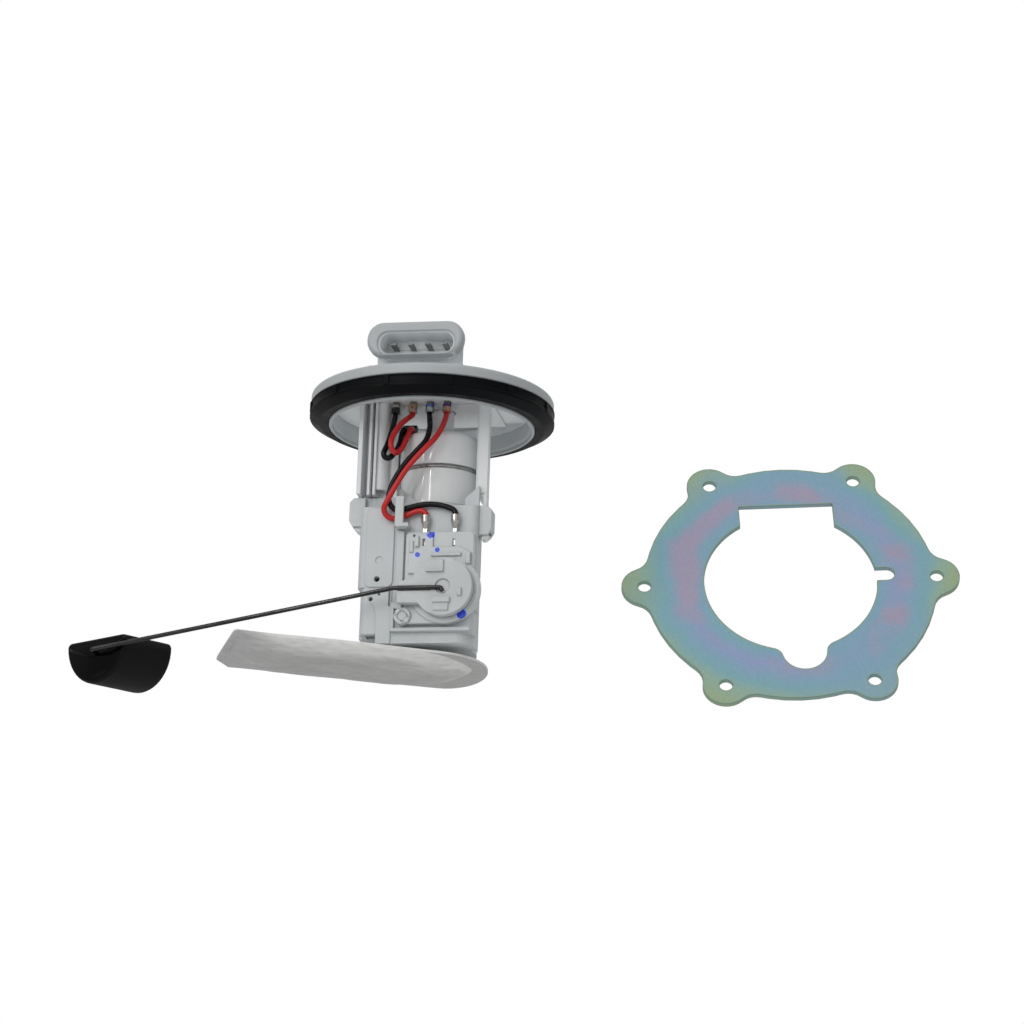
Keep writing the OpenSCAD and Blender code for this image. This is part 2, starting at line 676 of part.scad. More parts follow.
// Hook that holds the sender's wires
module wire_hook() {
  block([-8.2, -25.6, -49.6], [-2.6, -front_y + 0.5, -48]);
  block([-8.2, -25.6, -49.6], [-4.8, -24.2, -36.8]);
}

// Raised border round the sender
module pocket_frame() {
  pad(1.8) polygon(round_rect([-7.9, -83], [-4.8, -50.4], 0.7));
  pad(1.8) polygon(round_rect([-9.2, -92.4], [-7.9, -80], 0.6));
  pad(2.2) polygon(round_rect([-9.2, -92.4], [23.4, -91], 0.65));
  translate([boss_x, -front_y + 0.5, boss_z]) rotate([90, 0, 0]) cylinder(r = 1.9, h = 4.5);
}
boss_x = -3.9;
boss_z = -86.6;

// Upper cup with the stem that leads to the flange
module pump_cap() color(clear_white) translate([pump_x, 0, 0]) difference() {
  rotate_extrude() polygon(concat(
    [[can_r + fit_gap, bead_z], [cap_d / 2, bead_z]],
    arc([cap_d / 2 - 3, cap_z - 3], 3, 0, 90),
    [[4.8, cap_z], [4.8, 6], [cap_stem_r, 6], [cap_stem_r, 11.4], [o_ring_in - fit_gap, 11.4],
     [o_ring_in - fit_gap, 13.6], [cap_stem_r, 13.6], [cap_stem_r, 15.2], [1.5, 15.2], [1.5, -1.4],
     [nozzle_r + fit_gap, -1.4], [nozzle_r + fit_gap, cap_z - 2], [can_r + fit_gap, cap_z - 2]]));
  block([plug_lo[0] - fit_gap, plug_lo[1] - fit_gap, cap_z - 1],
    [plug_hi[0] + fit_gap, plug_hi[1] + fit_gap, cap_z + cut]);
}
o_ring_in = 2.3;
nozzle_r = 3.6;
plug_lo = [-14.7, -8.2];
plug_hi = [-9.1, -5];

// O-ring on the upper cup's stem
module outlet_o_ring() color(black) translate([pump_x, 0, 12.5])
  rotate_extrude() translate([o_ring_in + 0.88, 0]) circle(r = 0.88, $fn = 24);

// Sleeve round the can, between the bead and the shelf
module pump_sleeve() color(clear_white) translate([pump_x, 0, 0]) {
  top = bead_z - can_bead_h - fit_gap;
  rotate_extrude() polygon(concat(
    [[can_r + fit_gap, shelf_z]],
    arc([sleeve_d / 2 - 0.6, shelf_z + 0.6], 0.6, 270, 360, 3),
    [[sleeve_d / 2, top], [can_r + fit_gap, top]]));
}

// Steel can of the pump with its rolled bead and turned-in ends
module pump_can() color(steel) translate([pump_x, 0, 0]) {
  bead_mid = bead_z - can_bead_h / 2 - fit_gap / 2;
  rotate_extrude() polygon(concat(
    [[can_in, can_bottom_z + can_wall], [lip_r, can_bottom_z + can_wall], [lip_r, can_bottom_z],
     [can_r - 0.6, can_bottom_z], [can_r, can_bottom_z + 0.6], [can_r, bead_z - can_bead_h]],
    arc([can_bead_d / 2 - can_bead_h / 2 + fit_gap, bead_mid], can_bead_h / 2 - fit_gap, -90, 90),
    [[can_r, bead_z - fit_gap], [can_r, can_top_z - 0.6], [can_r - 0.6, can_top_z],
     [lip_r, can_top_z], [lip_r, can_top_z - can_wall], [can_in, can_top_z - can_wall]]));
}
lip_r = 13.6;

// Heights inside the pump
cover_top = can_top_z - can_wall - fit_gap;
cover_foot = cover_top - 11;
inlet_foot = can_bottom_z + can_wall + fit_gap;
inlet_top = inlet_foot + 6.4;
chamber_top = inlet_top + 2.6;
impeller_z = inlet_top - impeller_t - 0.1;
armature_z = chamber_top + 5.6;
armature_top = armature_z + armature_len;
commutator_z = armature_top + 2.2;
commutator_top = commutator_z + 3;
bush_r = 3.2;
shaft_r = shaft_d / 2;
shaft_top = cover_foot + 4.4;
brush_r = 4.4;
brush_size = [2.6, 3.6];
brush_top = commutator_top + fit_gap + 6;
brush_pocket_top = cover_foot + 8;

// Upper end cover with the outlet nozzle, the brush pockets and the bush's seat
module pump_outlet_cover() color(black) translate([pump_x, 0, 0]) difference() {
  rotate_extrude() polygon([[0, cover_foot], [part_in, cover_foot], [part_in, cover_top],
    [lip_r - fit_gap, cover_top], [lip_r - fit_gap, cover_top + 1.6], [nozzle_r, cover_top + 1.6],
    [nozzle_r, -2], [0, -2]]);
  rod(valve_r + 0.15, valve_seat_z, -3);
  rod(1.3, cover_top - 3.6, -1);
  rod(1.5, cover_top - 4, valve_seat_z + cut);
  rod(bush_r + fit_gap, cover_foot - cut, cover_foot + 4.6);
  for (s = [-1, 1]) translate([s * brush_r, 0, 0])
    block([-brush_size[0] / 2 - fit_gap, -brush_size[1] / 2 - fit_gap, cover_foot - cut],
      [brush_size[0] / 2 + fit_gap, brush_size[1] / 2 + fit_gap, brush_pocket_top]);
  translate([0, 9.5, 0]) rod(1.6, cover_foot - cut, cover_top - 2);
  block([-1.4, 0, cover_top - 4], [1.4, 10, cover_top - 2]);
}
valve_r = 2.1;
valve_seat_z = -9.6;
valve_lift = 1.2;

// Lower end cover with the pump channel and the inlet
module pump_inlet_cover() color(steel) translate([pump_x, 0, 0]) difference() {
  rotate_extrude() polygon([[0, inlet_foot], [lip_r - fit_gap, inlet_foot - can_wall - 1],
    [lip_r - fit_gap, inlet_foot], [part_in, inlet_foot], [part_in, inlet_top], [0, inlet_top]]);
  rod(impeller_d / 2 + 0.3, impeller_z - 0.1, inlet_top + cut);
  rotate_extrude() translate([impeller_d / 2 - 2.2, impeller_z - 0.1]) circle(r = 1.2, $fn = 24);
  rod(shaft_r + 0.3, inlet_foot + 0.8, inlet_top);
  rod(2, inlet_foot - 3, inlet_foot + 4, impeller_d / 2 - 2.2);
}

// Plate between turbine and motor, with the lower bush's seat
module chamber_plate() color(steel) translate([pump_x, 0, 0]) difference() {
  rotate_extrude() polygon([[0, inlet_top + fit_gap], [part_in, inlet_top + fit_gap],
    [part_in, chamber_top], [6, chamber_top], [5, chamber_top + 3], [0, chamber_top + 3]]);
  rod(shaft_r + 0.3, inlet_top - cut, chamber_top + 4);
  rod(bush_r + fit_gap, inlet_top + 0.8, chamber_top + 4);
  rod(1.8, inlet_top - cut, chamber_top + cut, -impeller_d / 2 + 2.2);
}

// Vaned impeller on the rotor shaft
module impeller() color(black) translate([pump_x, 0, 0]) difference() {
  rod(impeller_d / 2, impeller_z, impeller_z + impeller_t);
  rod(shaft_r + run_gap / 2, impeller_z - cut, impeller_z + impeller_t + cut);
  for (k = [0:impeller_vanes - 1]) rotate([0, 0, 360 * k / impeller_vanes])
    block([impeller_d / 2 - 2.8, -0.8, impeller_z - cut],
      [impeller_d / 2 - 0.9, 0.8, impeller_z + impeller_t + cut]);
}

// Slotted armature with its windings
module armature() color(copper) translate([pump_x, 0, 0]) difference() {
  union() {
    rod(armature_d / 2, armature_z, armature_top);
    rod(armature_d / 2 - 2.4, armature_z - 1.6, armature_top + 1.6);
  }
  rod(shaft_r + run_gap / 2, armature_z - 3, armature_top + 3);
  for (k = [0:armature_slots - 1]) rotate([0, 0, 360 * k / armature_slots])
    block([armature_d / 2 - 2, -0.7, armature_z - cut], [armature_d / 2 + 1, 0.7, armature_top + cut]);
}

// Shaft of the rotor
module rotor_shaft() color(steel) rod(shaft_r, inlet_foot + 1.2, shaft_top, pump_x);

// Face commutator with its segments parted by slits
module commutator() color(copper) translate([pump_x, 0, 0]) difference() {
  rod(commutator_d / 2, commutator_z, commutator_top);
  rod(shaft_r + run_gap / 2, commutator_z - cut, commutator_top + cut);
  for (k = [0:armature_slots - 1]) rotate([0, 0, 360 * k / armature_slots])
    block([2.6, -0.2, commutator_top - 1.2], [commutator_d / 2 + cut, 0.2, commutator_top + cut]);
}

// Two magnet shells inside the can
module magnets() color([0.25, 0.25, 0.27]) translate([pump_x, 0, 0])
  for (s = [0, 180]) rotate([0, 0, s]) intersection() {
    pipe(part_in, armature_d / 2 + 0.5, armature_z - 1.4, armature_top + 4);
    block([2, -part_in - cut, armature_z - 2], [part_in + cut, part_in + cut, armature_top + 5]);
  }

// Bushes of the rotor
module bush(z0, z1) {
  translate([pump_x, 0, 0]) pipe(bush_r, shaft_r + run_gap, z0, z1);
}
module upper_bearing() color(copper) bush(cover_foot + 0.4, cover_foot + 4.55);
module lower_bearing() color(copper) bush(inlet_top + 0.85, chamber_top + 2.8);

// Two carbon brushes on the commutator's face
module brushes() color([0.2, 0.2, 0.2]) for (s = [-1, 1]) translate([pump_x + s * brush_r, 0, 0])
  block([-brush_size[0] / 2, -brush_size[1] / 2, commutator_top + fit_gap],
    [brush_size[0] / 2, brush_size[1] / 2, brush_top]);

// Springs behind the brushes
module brush_springs() color(steel) for (s = [-1, 1]) translate([pump_x + s * brush_r, 0, 0])
  coil_spring(0.85, 0.2, brush_top + fit_gap, brush_pocket_top - fit_gap, 3, 8);

// Check valve in the outlet nozzle: a mushroom that lifts off its seat
module check_valve() color(black) translate([pump_x, 0, 0]) rotate_extrude() polygon([
  [0, valve_seat_z + fit_gap], [valve_r - 0.3, valve_seat_z + fit_gap], [valve_r, valve_seat_z + 0.4],
  [valve_r, valve_seat_z + 1.1], [0.6, valve_seat_z + 1.1], [0.6, valve_seat_z + 3.4],
  [0, valve_seat_z + 3.4]]);

// Spring of the check valve
module check_valve_spring() color(steel) translate([pump_x, 0, 0])
  coil_spring(1.55, 0.2, valve_seat_z + 1.1 + fit_gap, -3 - fit_gap, 4, 10);

// Two-way plug on the upper cup that feeds the motor
module pump_plug() color(black) translate([pump_x, 0, 0])
  block([plug_lo[0], plug_lo[1], cap_z - 1], [plug_hi[0], plug_hi[1], cap_z + 4.6]);

// Start of a wire in its crimp, and its end in a terminal of the sender
terminal_xs = [3.8, 16];
terminal_y = -22;
wire_end_z = -45.8;
function wire_start(i) = [[pin_xs[i], pin_y, crimp_foot + 2.2], [pin_xs[i], pin_y, crimp_foot - 0.7]];
function wire_end(i) = [[terminal_xs[i], terminal_y, wire_end_z + 1.7 + 0.3 * i],
  [terminal_xs[i], terminal_y, wire_end_z]];

// Routes of the four wires, each from its crimp under the flange
pump_black_route = concat(wire_start(0), [[-12.6, -15, -2], [-13, -17.2, -7],
  [-14.2, -18.8, -13], [-15.3, -19.8, -16.6], [-14.4, -19.6, -18.6], [-12.4, -19, -18.2],
  [-10.8, -17.8, -15.4], [-9.8, -15.6, -11.6], [-9.5, -13.2, -6.8], [-9.2, -11.2, -4.1],
  [-8.9, -9.7, -3.7], [-8.9, -8.5, -3.7]]);
pump_red_route = concat(wire_start(1), [[-6.6, -15.6, -0.6], [-9, -19, -4.4],
  [-11, -21.6, -9.2], [-11.8, -22.6, -13], [-11.3, -22.6, -15.8], [-9.8, -21.4, -17.2],
  [-8.2, -19.4, -15.2], [-7, -17.4, -11.2], [-6.2, -15.4, -7.4], [-6.1, -13, -4.6],
  [-6, -10.8, -3.7], [-5.9, -9.6, -3.7], [-5.9, -8.5, -3.7]]);
sender_black_route = concat(wire_start(2), [[2.3, -15.4, -1.2], [3.2, -18.6, -5.8],
  [2.4, -21.2, -12], [-1.6, -22, -17.2], [-4.8, -22.2, -21], [-8, -22.4, -25.8], [-10.7, -22.4, -31],
  [-11.9, -22.4, -36.2], [-10.7, -22.3, -40], [-7.8, -22, -41.8], [-4, -22, -41], [1.2, -22, -39.8],
  [5.4, -22, -39.5], [9.6, -22, -40], [13, -22, -41], [15.2, -22, -42.2]], wire_end(1));
sender_red_route = concat(wire_start(3), [[8.8, -16, -2], [8.2, -20.2, -7.2],
  [6.2, -23.4, -12.4], [2.9, -24.7, -16.5], [-1, -25, -21], [-5, -25, -26.2], [-8.4, -25, -32],
  [-11.3, -24.8, -37.4], [-13.2, -24, -41.6], [-11.8, -22.8, -44.6], [-8.6, -22, -45.2],
  [-4.4, -22, -44], [-0.8, -22, -42.6], [1.6, -22, -42.2], [3.2, -22, -42.8]], wire_end(0));
module pump_wire_black() color(black) cord(pump_black_route, wire_r);
module pump_wire_red() color([0.75, 0.08, 0.08]) cord(pump_red_route, wire_r);
module sender_wire_black() color(black) cord(sender_black_route, wire_r);
module sender_wire_red() color([0.75, 0.08, 0.08]) cord(sender_red_route, wire_r);

// Sender places
pivot_z = -pivot_drop;
sender_y = -front_y;
sender_front = sender_y - sender_t;
sender_top = -51.6;
sender_left = -3.6;
sender_right = 24.2;
pivot_r = 3;
card_t = 0.8;
card_out = 11.5;
card_in = 6.5;
holder_back = sender_front - move_gap;
holder_front = holder_back - holder_t;
arm_y = holder_front - arm_d / 2 + 0.7;

// Moulded base of the sender, clipped to the front of the housing
module sender_base() color(clear_white) difference() {
  union() {
    along_y(sender_front + 0.8, sender_y - fit_gap)
      polygon(round_rect([sender_left, boss_z - 3], [pivot_x, sender_top], 1.6));
    along_y(sender_front + 0.8, sender_y - fit_gap)
      polygon(round_rect([sender_left, pivot_z - 2], [sender_right, sender_top], 1.6));
    along_y(sender_front, sender_y - fit_gap) polygon([[sender_left + 1.4, sender_top - 1],
      [7.6, sender_top - 1], [7.6, sender_top - 6.4], [18.6, sender_top - 6.4],
      [sender_right - 0.8, sender_top - 9], [sender_right - 0.8, -64.6], [18.6, -66.6],
      [pivot_x, pivot_z + lobe_r - 2.4], [2, -69], [sender_left + 1.4, -69]]);
    translate([pivot_x, sender_y - fit_gap, pivot_z]) rotate([90, 0, 0])
      cylinder(r = lobe_r, h = sender_t - fit_gap);
    translate([boss_x, sender_y - fit_gap, boss_z]) rotate([90, 0, 0])
      cylinder(r = boss_r, h = sender_t + 0.4);
    block([0.4, sender_front - 1.2, -58], [1.9, sender_front + cut, -53.6]);
    block([7, sender_front - 0.8, -62], [19.4, sender_front + cut, -60.8]);
    block([21.4, sender_front - 1, -65.4], [23.2, sender_front + cut, -60.6]);
    block([-1.8, sender_front - 0.5, -60.2], [-0.4, sender_front + cut, -55.6]);
    translate([pivot_x, sender_front + cut, pivot_z]) rotate([90, 0, 0])
      cylinder(r = pivot_r, h = holder_t + move_gap + cut - 0.6);
  }
  for (x = terminal_xs) {
    block([x - 0.9, terminal_y - 0.5, -58], [x + 0.9, terminal_y + 0.5, sender_top + cut]);
    block([x - 0.5, sender_front - cut, -57.6], [x + 0.5, terminal_y, -54.6]);
  }
  translate([boss_x, sender_y + cut, boss_z]) rotate([90, 0, 0]) cylinder(r = 1.95, h = 6);
  for (d = [-1.5, 1.5]) translate([boss_x, sender_front - 0.4, boss_z]) rotate([0, 45, 0])
    block([-boss_r - cut, -cut, d - 0.4], [boss_r + cut, 0.6, d + 0.4]);
  translate([pivot_x, sender_front, pivot_z]) rotate([-90, 0, 0])
    translate([0, 0, -0.01]) pipe(card_out + 0.2, card_in - 0.2, 0, card_t + 0.11);
  translate([-0.2, sender_front - cut, -53.2]) rotate([-90, 0, 0]) cylinder(d = 1.1, h = 3);
}
boss_r = 3.4;

// Terminals that join the wires to the sender
module sender_terminals() color(steel) for (x = terminal_xs) {
  block([x - 0.8, terminal_y - 0.4, -57], [x + 0.8, terminal_y + 0.4, -49.6]);
  difference() {
    union() {
      rod(1.8, -47, -44.3, x, terminal_y);
      translate([x, terminal_y, -49.8]) cylinder(r1 = 0.8, r2 = 1.8, h = 2.8);
    }
    rod(wire_r + 3 * fit_gap, -46.1, -43, x, terminal_y);
  }
}

// Resistor card in its ring groove
module resistor_card() color([0.9, 0.88, 0.8]) translate([pivot_x, sender_front, pivot_z])
  rotate([-90, 0, 0]) pipe(card_out, card_in, 0.05, card_t);

// Holder that turns on the pivot and carries the arm in two clips
module arm_holder() color(clear_white) {
  difference() {
    union() {
      translate([pivot_x, holder_back, pivot_z]) rotate([90, 0, 0]) cylinder(r = 12, h = holder_t);
      along_y(holder_front, holder_back) polygon([[pivot_x, pivot_z + 5], [-5.5, pivot_z + 2.2],
        [-5.5, pivot_z - 6.6], [pivot_x, pivot_z - 7]]);
      block([6, holder_front - 0.7, -68.8], [13.2, holder_front + cut, -64.8]);
      block([6, holder_front - 1.3, -69.6], [13.2, holder_front + cut, -68.8]);
      block([9.2, holder_front - 1.1, -82.4], [16.2, holder_front + cut, -80.2]);
      block([9.6, holder_front - 0.5, -85.6], [15.6, holder_front + cut, -82.4]);
      block([19.2, holder_front - 0.9, -79.6], [20.8, holder_front + cut, -76.4]);
    }
    translate([pivot_x, holder_back + cut, pivot_z]) rotate([90, 0, 0])
      cylinder(r = pivot_r + run_gap, h = holder_t + 2 * cut);
    groove(arm_d / 2 + 2 * fit_gap);
    translate([pivot_x, holder_back + cut, pivot_z]) rotate([90, 0, 0]) rotate([0, 0, 200])
      block([card_in + 0.6, -1.6, 0], [card_in + 4.2, 1.6, cut + 0.9]);
  }
}

// Groove for the wire across the holder's face
module groove(r) {
  translate([arm_start_x, arm_y, arm_z]) rotate([0, -90, 0]) cylinder(r = r, h = 20);
  block([arm_start_x - 20, arm_y - 3, arm_z - r * 0.8], [arm_start_x, arm_y, arm_z + r * 0.8]);
}
arm_start_x = pivot_x - pivot_r - 1.6;
arm_bend_x = -7;
arm_z = pivot_z - 0.7;
arm_drop = (arm_reach - pivot_x + arm_bend_x) * tan(arm_slope);
arm_tip = [pivot_x - arm_reach, arm_y, arm_z - arm_drop];
arm_hook = 26;

// Wiper on the back of the holder that slides over the card
module wiper() color(copper) translate([pivot_x, holder_back, pivot_z]) rotate([90, 0, 0])
  rotate([0, 0, 200]) block([card_in + 0.8, -1.2, -move_gap + 0.05], [card_in + 4, 1.2, 0.8]);

// Bent wire that carries the float
module float_arm() color([0.15, 0.15, 0.16]) {
  along = [-cos(arm_slope), 0, -sin(arm_slope)];
  cord(concat(
    [[arm_start_x - 0.2, arm_y, arm_z], [arm_bend_x + 1.2, arm_y, arm_z]],
    [[arm_bend_x, arm_y, arm_z] + 1.2 * along], [arm_tip - 2.5 * along],
    [arm_tip - 0.8 * along + [0, 0.8, 0]], [arm_tip + [0, 2.5, 0]], [arm_tip + [0, arm_hook, 0]]), arm_d / 2);
}

// Foam float: half round below, flat above
module float() color(black) {
  r = float_w / 2;
  difference() {
    translate(arm_tip + [-1.6, 9.2, float_rise]) rotate([float_tilt, 0, -float_turn])
      translate([0, float_len, 0]) rotate([90, 0, 0]) linear_extrude(float_len) polygon(concat(
        arc([r - 2, -2], 2, 0, 90, 3), arc([2 - r, -2], 2, 90, 180, 3),
        arc([0, r - float_h], r, 180, 360, 16)));
    translate(arm_tip + [0, 2.6, 0]) rotate([-90, 0, 0])
      cylinder(r = arm_d / 2 + fit_gap, h = arm_hook - 2.3);
  }
}
float_rise = 7;

// Pressure regulator in the left column
module regulator_body() color(steel) translate([reg_x, reg_y, 0]) rotate_extrude() polygon([
  [1.6, reg_top - fit_gap], [reg_r, reg_top - fit_gap], [reg_r, reg_foot + fit_gap + 1.6],
  [reg_r - 0.8, reg_foot + fit_gap + 1.6], [reg_r - 0.8, reg_top - 1.4], [1.6, reg_top - 1.4]]);
module regulator_valve() color(steel) translate([reg_x, reg_y, 0]) rotate_extrude() polygon([
  [0, reg_top - 1.45], [3.6, reg_top - 1.45], [3.6, reg_top - 2.6], [1.2, reg_top - 2.6],
  [1.2, reg_top - 4.6], [0, reg_top - 4.6]]);
module regulator_spring() color(steel) translate([reg_x, reg_y, 0])
  coil_spring(2.6, 0.4, reg_foot + 1.75, reg_top - 2.65, 5, 12);
module regulator_cap() color(steel) translate([reg_x, reg_y, 0])
  pipe(reg_r, 1.4, reg_foot + fit_gap, reg_foot + 1.6);

// Felt pouch over the pump's inlet: a flat sealed margin round a flat cushion
module filter_sock() color(felt) translate([pump_x, 0, sock_top_z]) rotate([0, 0, sock_turn])
  rotate([-sock_roll, sock_pitch, 0]) hull() {
    translate([0, 0, -sock_t / 2 - 0.6]) linear_extrude(1.2) polygon(sock_outline(0, 0));
    translate([0, 0, -sock_t]) linear_extrude(sock_t) polygon(sock_outline(sock_margin + 3, 3));
  }

// Outline of the pouch round the pump's axis: cut corner at its far end, rounded tail
function sock_outline(ends, sides) = let (tail = sock_tail - ends, end = sock_tail - sock_len + ends,
  w = sock_w / 2 - sides) concat([[end + 6.2, w], [end, w - 7.2], [end + 1.6, -w + 1.2], [end + 2.8, -w]],
  [for (k = [0:10]) let (r = k < 5 ? 22 : 16) [tail - r + r * cos(k * 18 - 90), w * sin(k * 18 - 90)]]);

// Plastic mount that joins the pouch to the pump's inlet
module sock_mount() color(white) translate([pump_x, 0, 0]) rotate_extrude() polygon([
  [mount_bore, mount_foot], [mount_plate_r, mount_foot], [mount_plate_r, bottom_z - fit_gap],
  [mount_r, bottom_z - fit_gap], [mount_r, inlet_foot - 3], [mount_bore, inlet_foot - 3]]);
mount_r = 6.4;
mount_bore = 4.6;
mount_plate_r = 9;
mount_foot = bottom_z - 1.3;
sock_top_z = mount_foot - 0.2 - mount_plate_r * (sin(sock_roll) + sin(sock_pitch));

flange();
flange_seal();
connector_pins();
flange_terminals();
retaining_plate();
upper_frame();
lower_housing();
pump_cap();
outlet_o_ring();
pump_sleeve();
pump_can();
pump_outlet_cover();
pump_inlet_cover();
chamber_plate();
impeller();
armature();
rotor_shaft();
commutator();
magnets();
upper_bearing();
lower_bearing();
brushes();
brush_springs();
check_valve();
check_valve_spring();
pump_plug();
pump_wire_black();
pump_wire_red();
sender_wire_black();
sender_wire_red();
sender_base();
sender_terminals();
resistor_card();
arm_holder();
wiper();
float_arm();
float();
regulator_body();
regulator_valve();
regulator_spring();
regulator_cap();
filter_sock();
sock_mount();
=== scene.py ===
"""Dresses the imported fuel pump: finishes, wires, valve coils, strainer, float and a plain studio."""
import math

import bmesh
import bpy
from bpy.props import FloatProperty, FloatVectorProperty, PointerProperty
from mathutils import Matrix, Vector, noise


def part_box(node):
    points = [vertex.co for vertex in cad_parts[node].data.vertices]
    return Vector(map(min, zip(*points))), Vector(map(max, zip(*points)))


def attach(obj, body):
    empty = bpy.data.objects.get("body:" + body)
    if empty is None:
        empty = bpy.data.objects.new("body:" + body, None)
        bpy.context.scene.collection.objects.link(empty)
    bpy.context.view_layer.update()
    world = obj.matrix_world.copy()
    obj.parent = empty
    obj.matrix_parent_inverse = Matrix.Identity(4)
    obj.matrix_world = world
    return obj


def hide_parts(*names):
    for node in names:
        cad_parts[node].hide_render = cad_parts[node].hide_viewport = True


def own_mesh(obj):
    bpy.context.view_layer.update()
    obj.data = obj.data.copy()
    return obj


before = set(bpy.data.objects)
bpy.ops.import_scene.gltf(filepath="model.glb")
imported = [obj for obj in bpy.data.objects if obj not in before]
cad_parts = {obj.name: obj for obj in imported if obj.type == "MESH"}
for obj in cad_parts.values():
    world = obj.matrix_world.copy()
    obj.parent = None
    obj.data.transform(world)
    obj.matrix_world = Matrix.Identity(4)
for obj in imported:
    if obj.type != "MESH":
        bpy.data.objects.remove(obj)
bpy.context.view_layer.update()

bl_info = {
    "name": "Fuel pump dressing",
    "version": (1, 0, 0),
    "blender": (4, 5, 0),
    "location": "View3D > Sidebar > Fuel Pump",
    "description": "Finishes, wires, springs, strainer, float and studio for the packed fuel pump",
    "category": "Object",
}

# Routes of the four wires, in metres, as the source has them in millimetres
ROUTES = {
    "pump_wire_black": [(-0.01245, -0.0135, 0.0044), (-0.01245, -0.0135, 0.0015), (-0.0126, -0.015, -0.002),
        (-0.013, -0.0172, -0.007), (-0.0142, -0.0188, -0.013), (-0.0153, -0.0198, -0.0166),
        (-0.0144, -0.0196, -0.0186), (-0.0124, -0.019, -0.0182), (-0.0108, -0.0178, -0.0154),
        (-0.0098, -0.0156, -0.0116), (-0.0095, -0.0132, -0.0068), (-0.0092, -0.0112, -0.0041),
        (-0.0089, -0.0097, -0.0037), (-0.0089, -0.0085, -0.0037)],
    "pump_wire_red": [(-0.00535, -0.0135, 0.0044), (-0.00535, -0.0135, 0.0015), (-0.0066, -0.0156, -0.0006),
        (-0.009, -0.019, -0.0044), (-0.011, -0.0216, -0.0092), (-0.0118, -0.0226, -0.013),
        (-0.0113, -0.0226, -0.0158), (-0.0098, -0.0214, -0.0172), (-0.0082, -0.0194, -0.0152),
        (-0.007, -0.0174, -0.0112), (-0.0062, -0.0154, -0.0074), (-0.0061, -0.013, -0.0046),
        (-0.006, -0.0108, -0.0037), (-0.0059, -0.0096, -0.0037), (-0.0059, -0.0085, -0.0037)],
    "sender_wire_black": [(0.00175, -0.0135, 0.0044), (0.00175, -0.0135, 0.0015), (0.0023, -0.0154, -0.0012),
        (0.0032, -0.0186, -0.0058), (0.0024, -0.0212, -0.012), (-0.0016, -0.022, -0.0172),
        (-0.0048, -0.0222, -0.021), (-0.008, -0.0224, -0.0258), (-0.0107, -0.0224, -0.031),
        (-0.0119, -0.0224, -0.0362), (-0.0107, -0.0223, -0.04), (-0.0078, -0.022, -0.0418),
        (-0.004, -0.022, -0.041), (0.0012, -0.022, -0.0398), (0.0054, -0.022, -0.0395),
        (0.0096, -0.022, -0.04), (0.013, -0.022, -0.041), (0.0152, -0.022, -0.0422),
        (0.016, -0.022, -0.0438), (0.016, -0.022, -0.0458)],
    "sender_wire_red": [(0.00885, -0.0135, 0.0044), (0.00885, -0.0135, 0.0015), (0.0088, -0.016, -0.002),
        (0.0082, -0.0202, -0.0072), (0.0062, -0.0234, -0.0124), (0.0029, -0.0247, -0.0165),
        (-0.001, -0.025, -0.021), (-0.005, -0.025, -0.0262), (-0.0084, -0.025, -0.032),
        (-0.0113, -0.0248, -0.0374), (-0.0132, -0.024, -0.0416), (-0.0118, -0.0228, -0.0446),
        (-0.0086, -0.022, -0.0452), (-0.0044, -0.022, -0.044), (-0.0008, -0.022, -0.0426),
        (0.0016, -0.022, -0.0422), (0.0032, -0.022, -0.0428), (0.0038, -0.022, -0.0441),
        (0.0038, -0.022, -0.0458)],
}

# Valve springs: node, joint, travel and a hair more, fixed end, coil radius, wire radius, turns
SPRINGS = (
    ("check_valve_spring", "check_valve_lift", 0.00127, "top", 0.00155, 0.0002, 4),
    ("regulator_spring", "regulator_lift", 0.00107, "bottom", 0.0026, 0.0004, 5),
)

# Float's arm: where it leaves the holder, bends and ends, as the source has it, and its hook into the holder
ARM_START, ARM_BEND = (0.0124, -0.0284, -0.0762), (-0.007, -0.0283, -0.0762)
ARM_TIP, ARM_END_Y = (-0.1305, -0.0283, -0.09976), -0.0023
ARM_HOOK_X, ARM_HOOK_Z = 0.0006, -0.0014
ARM_RADIUS, ARM_CORNER = 0.0009, 0.0008

# Float: its place and lean, its D section, its rounded edges, how far its near end swells, and at what depth
FLOAT_AT, FLOAT_TURN, FLOAT_TILT = (-0.1321, -0.0191, -0.09276), math.radians(-29), math.radians(3.4)
FLOAT_WIDTH, FLOAT_HEIGHT, FLOAT_LENGTH = 0.033, 0.0185, 0.028
FLOAT_TOP_EDGE, FLOAT_END_EDGE, FLOAT_CROWN, FLOAT_CROWN_AT = 0.002, 0.0014, 0.0014, 0.45

# Strainer: its place and lean, how far its tail reaches from there, its length and half its width
SOCK_AT, SOCK_TURN = (0.0045, 0, -0.09972), math.radians(24)
SOCK_ROLL, SOCK_PITCH = math.radians(-7), math.radians(0.8)
SOCK_TAIL, SOCK_LENGTH, SOCK_HALF = 0.0224, 0.109, 0.0195

# Its left end: where its two corners are cut, the far cut's slope, and how much the end slants
CUT_NEAR, CUT_FAR, CUT_SLOPE, END_SLANT = -0.0183, 0.0123, 0.86, 0.0016

# Its right end: how round it is on the near and the far side, and the flat rim's width and point
NOSE_NEAR, NOSE_FAR = 0.022, 0.016
NOSE_RIM, NOSE_POINT, NOSE_MIDDLE = 0.0065, 0.42, -0.005

# Its section: height of the seam, the sheets' gaps to it, the upper sheet's rise, and the flat rims' widths
SEAM, UPPER_GAP, LOWER_GAP, UPPER_RISE = -0.0032, 0.0006, 0.0004, 0.0024
MARGIN_SHARE, NEAR_RIM, FAR_RIM = 0.6, 0.0002, 0.0022

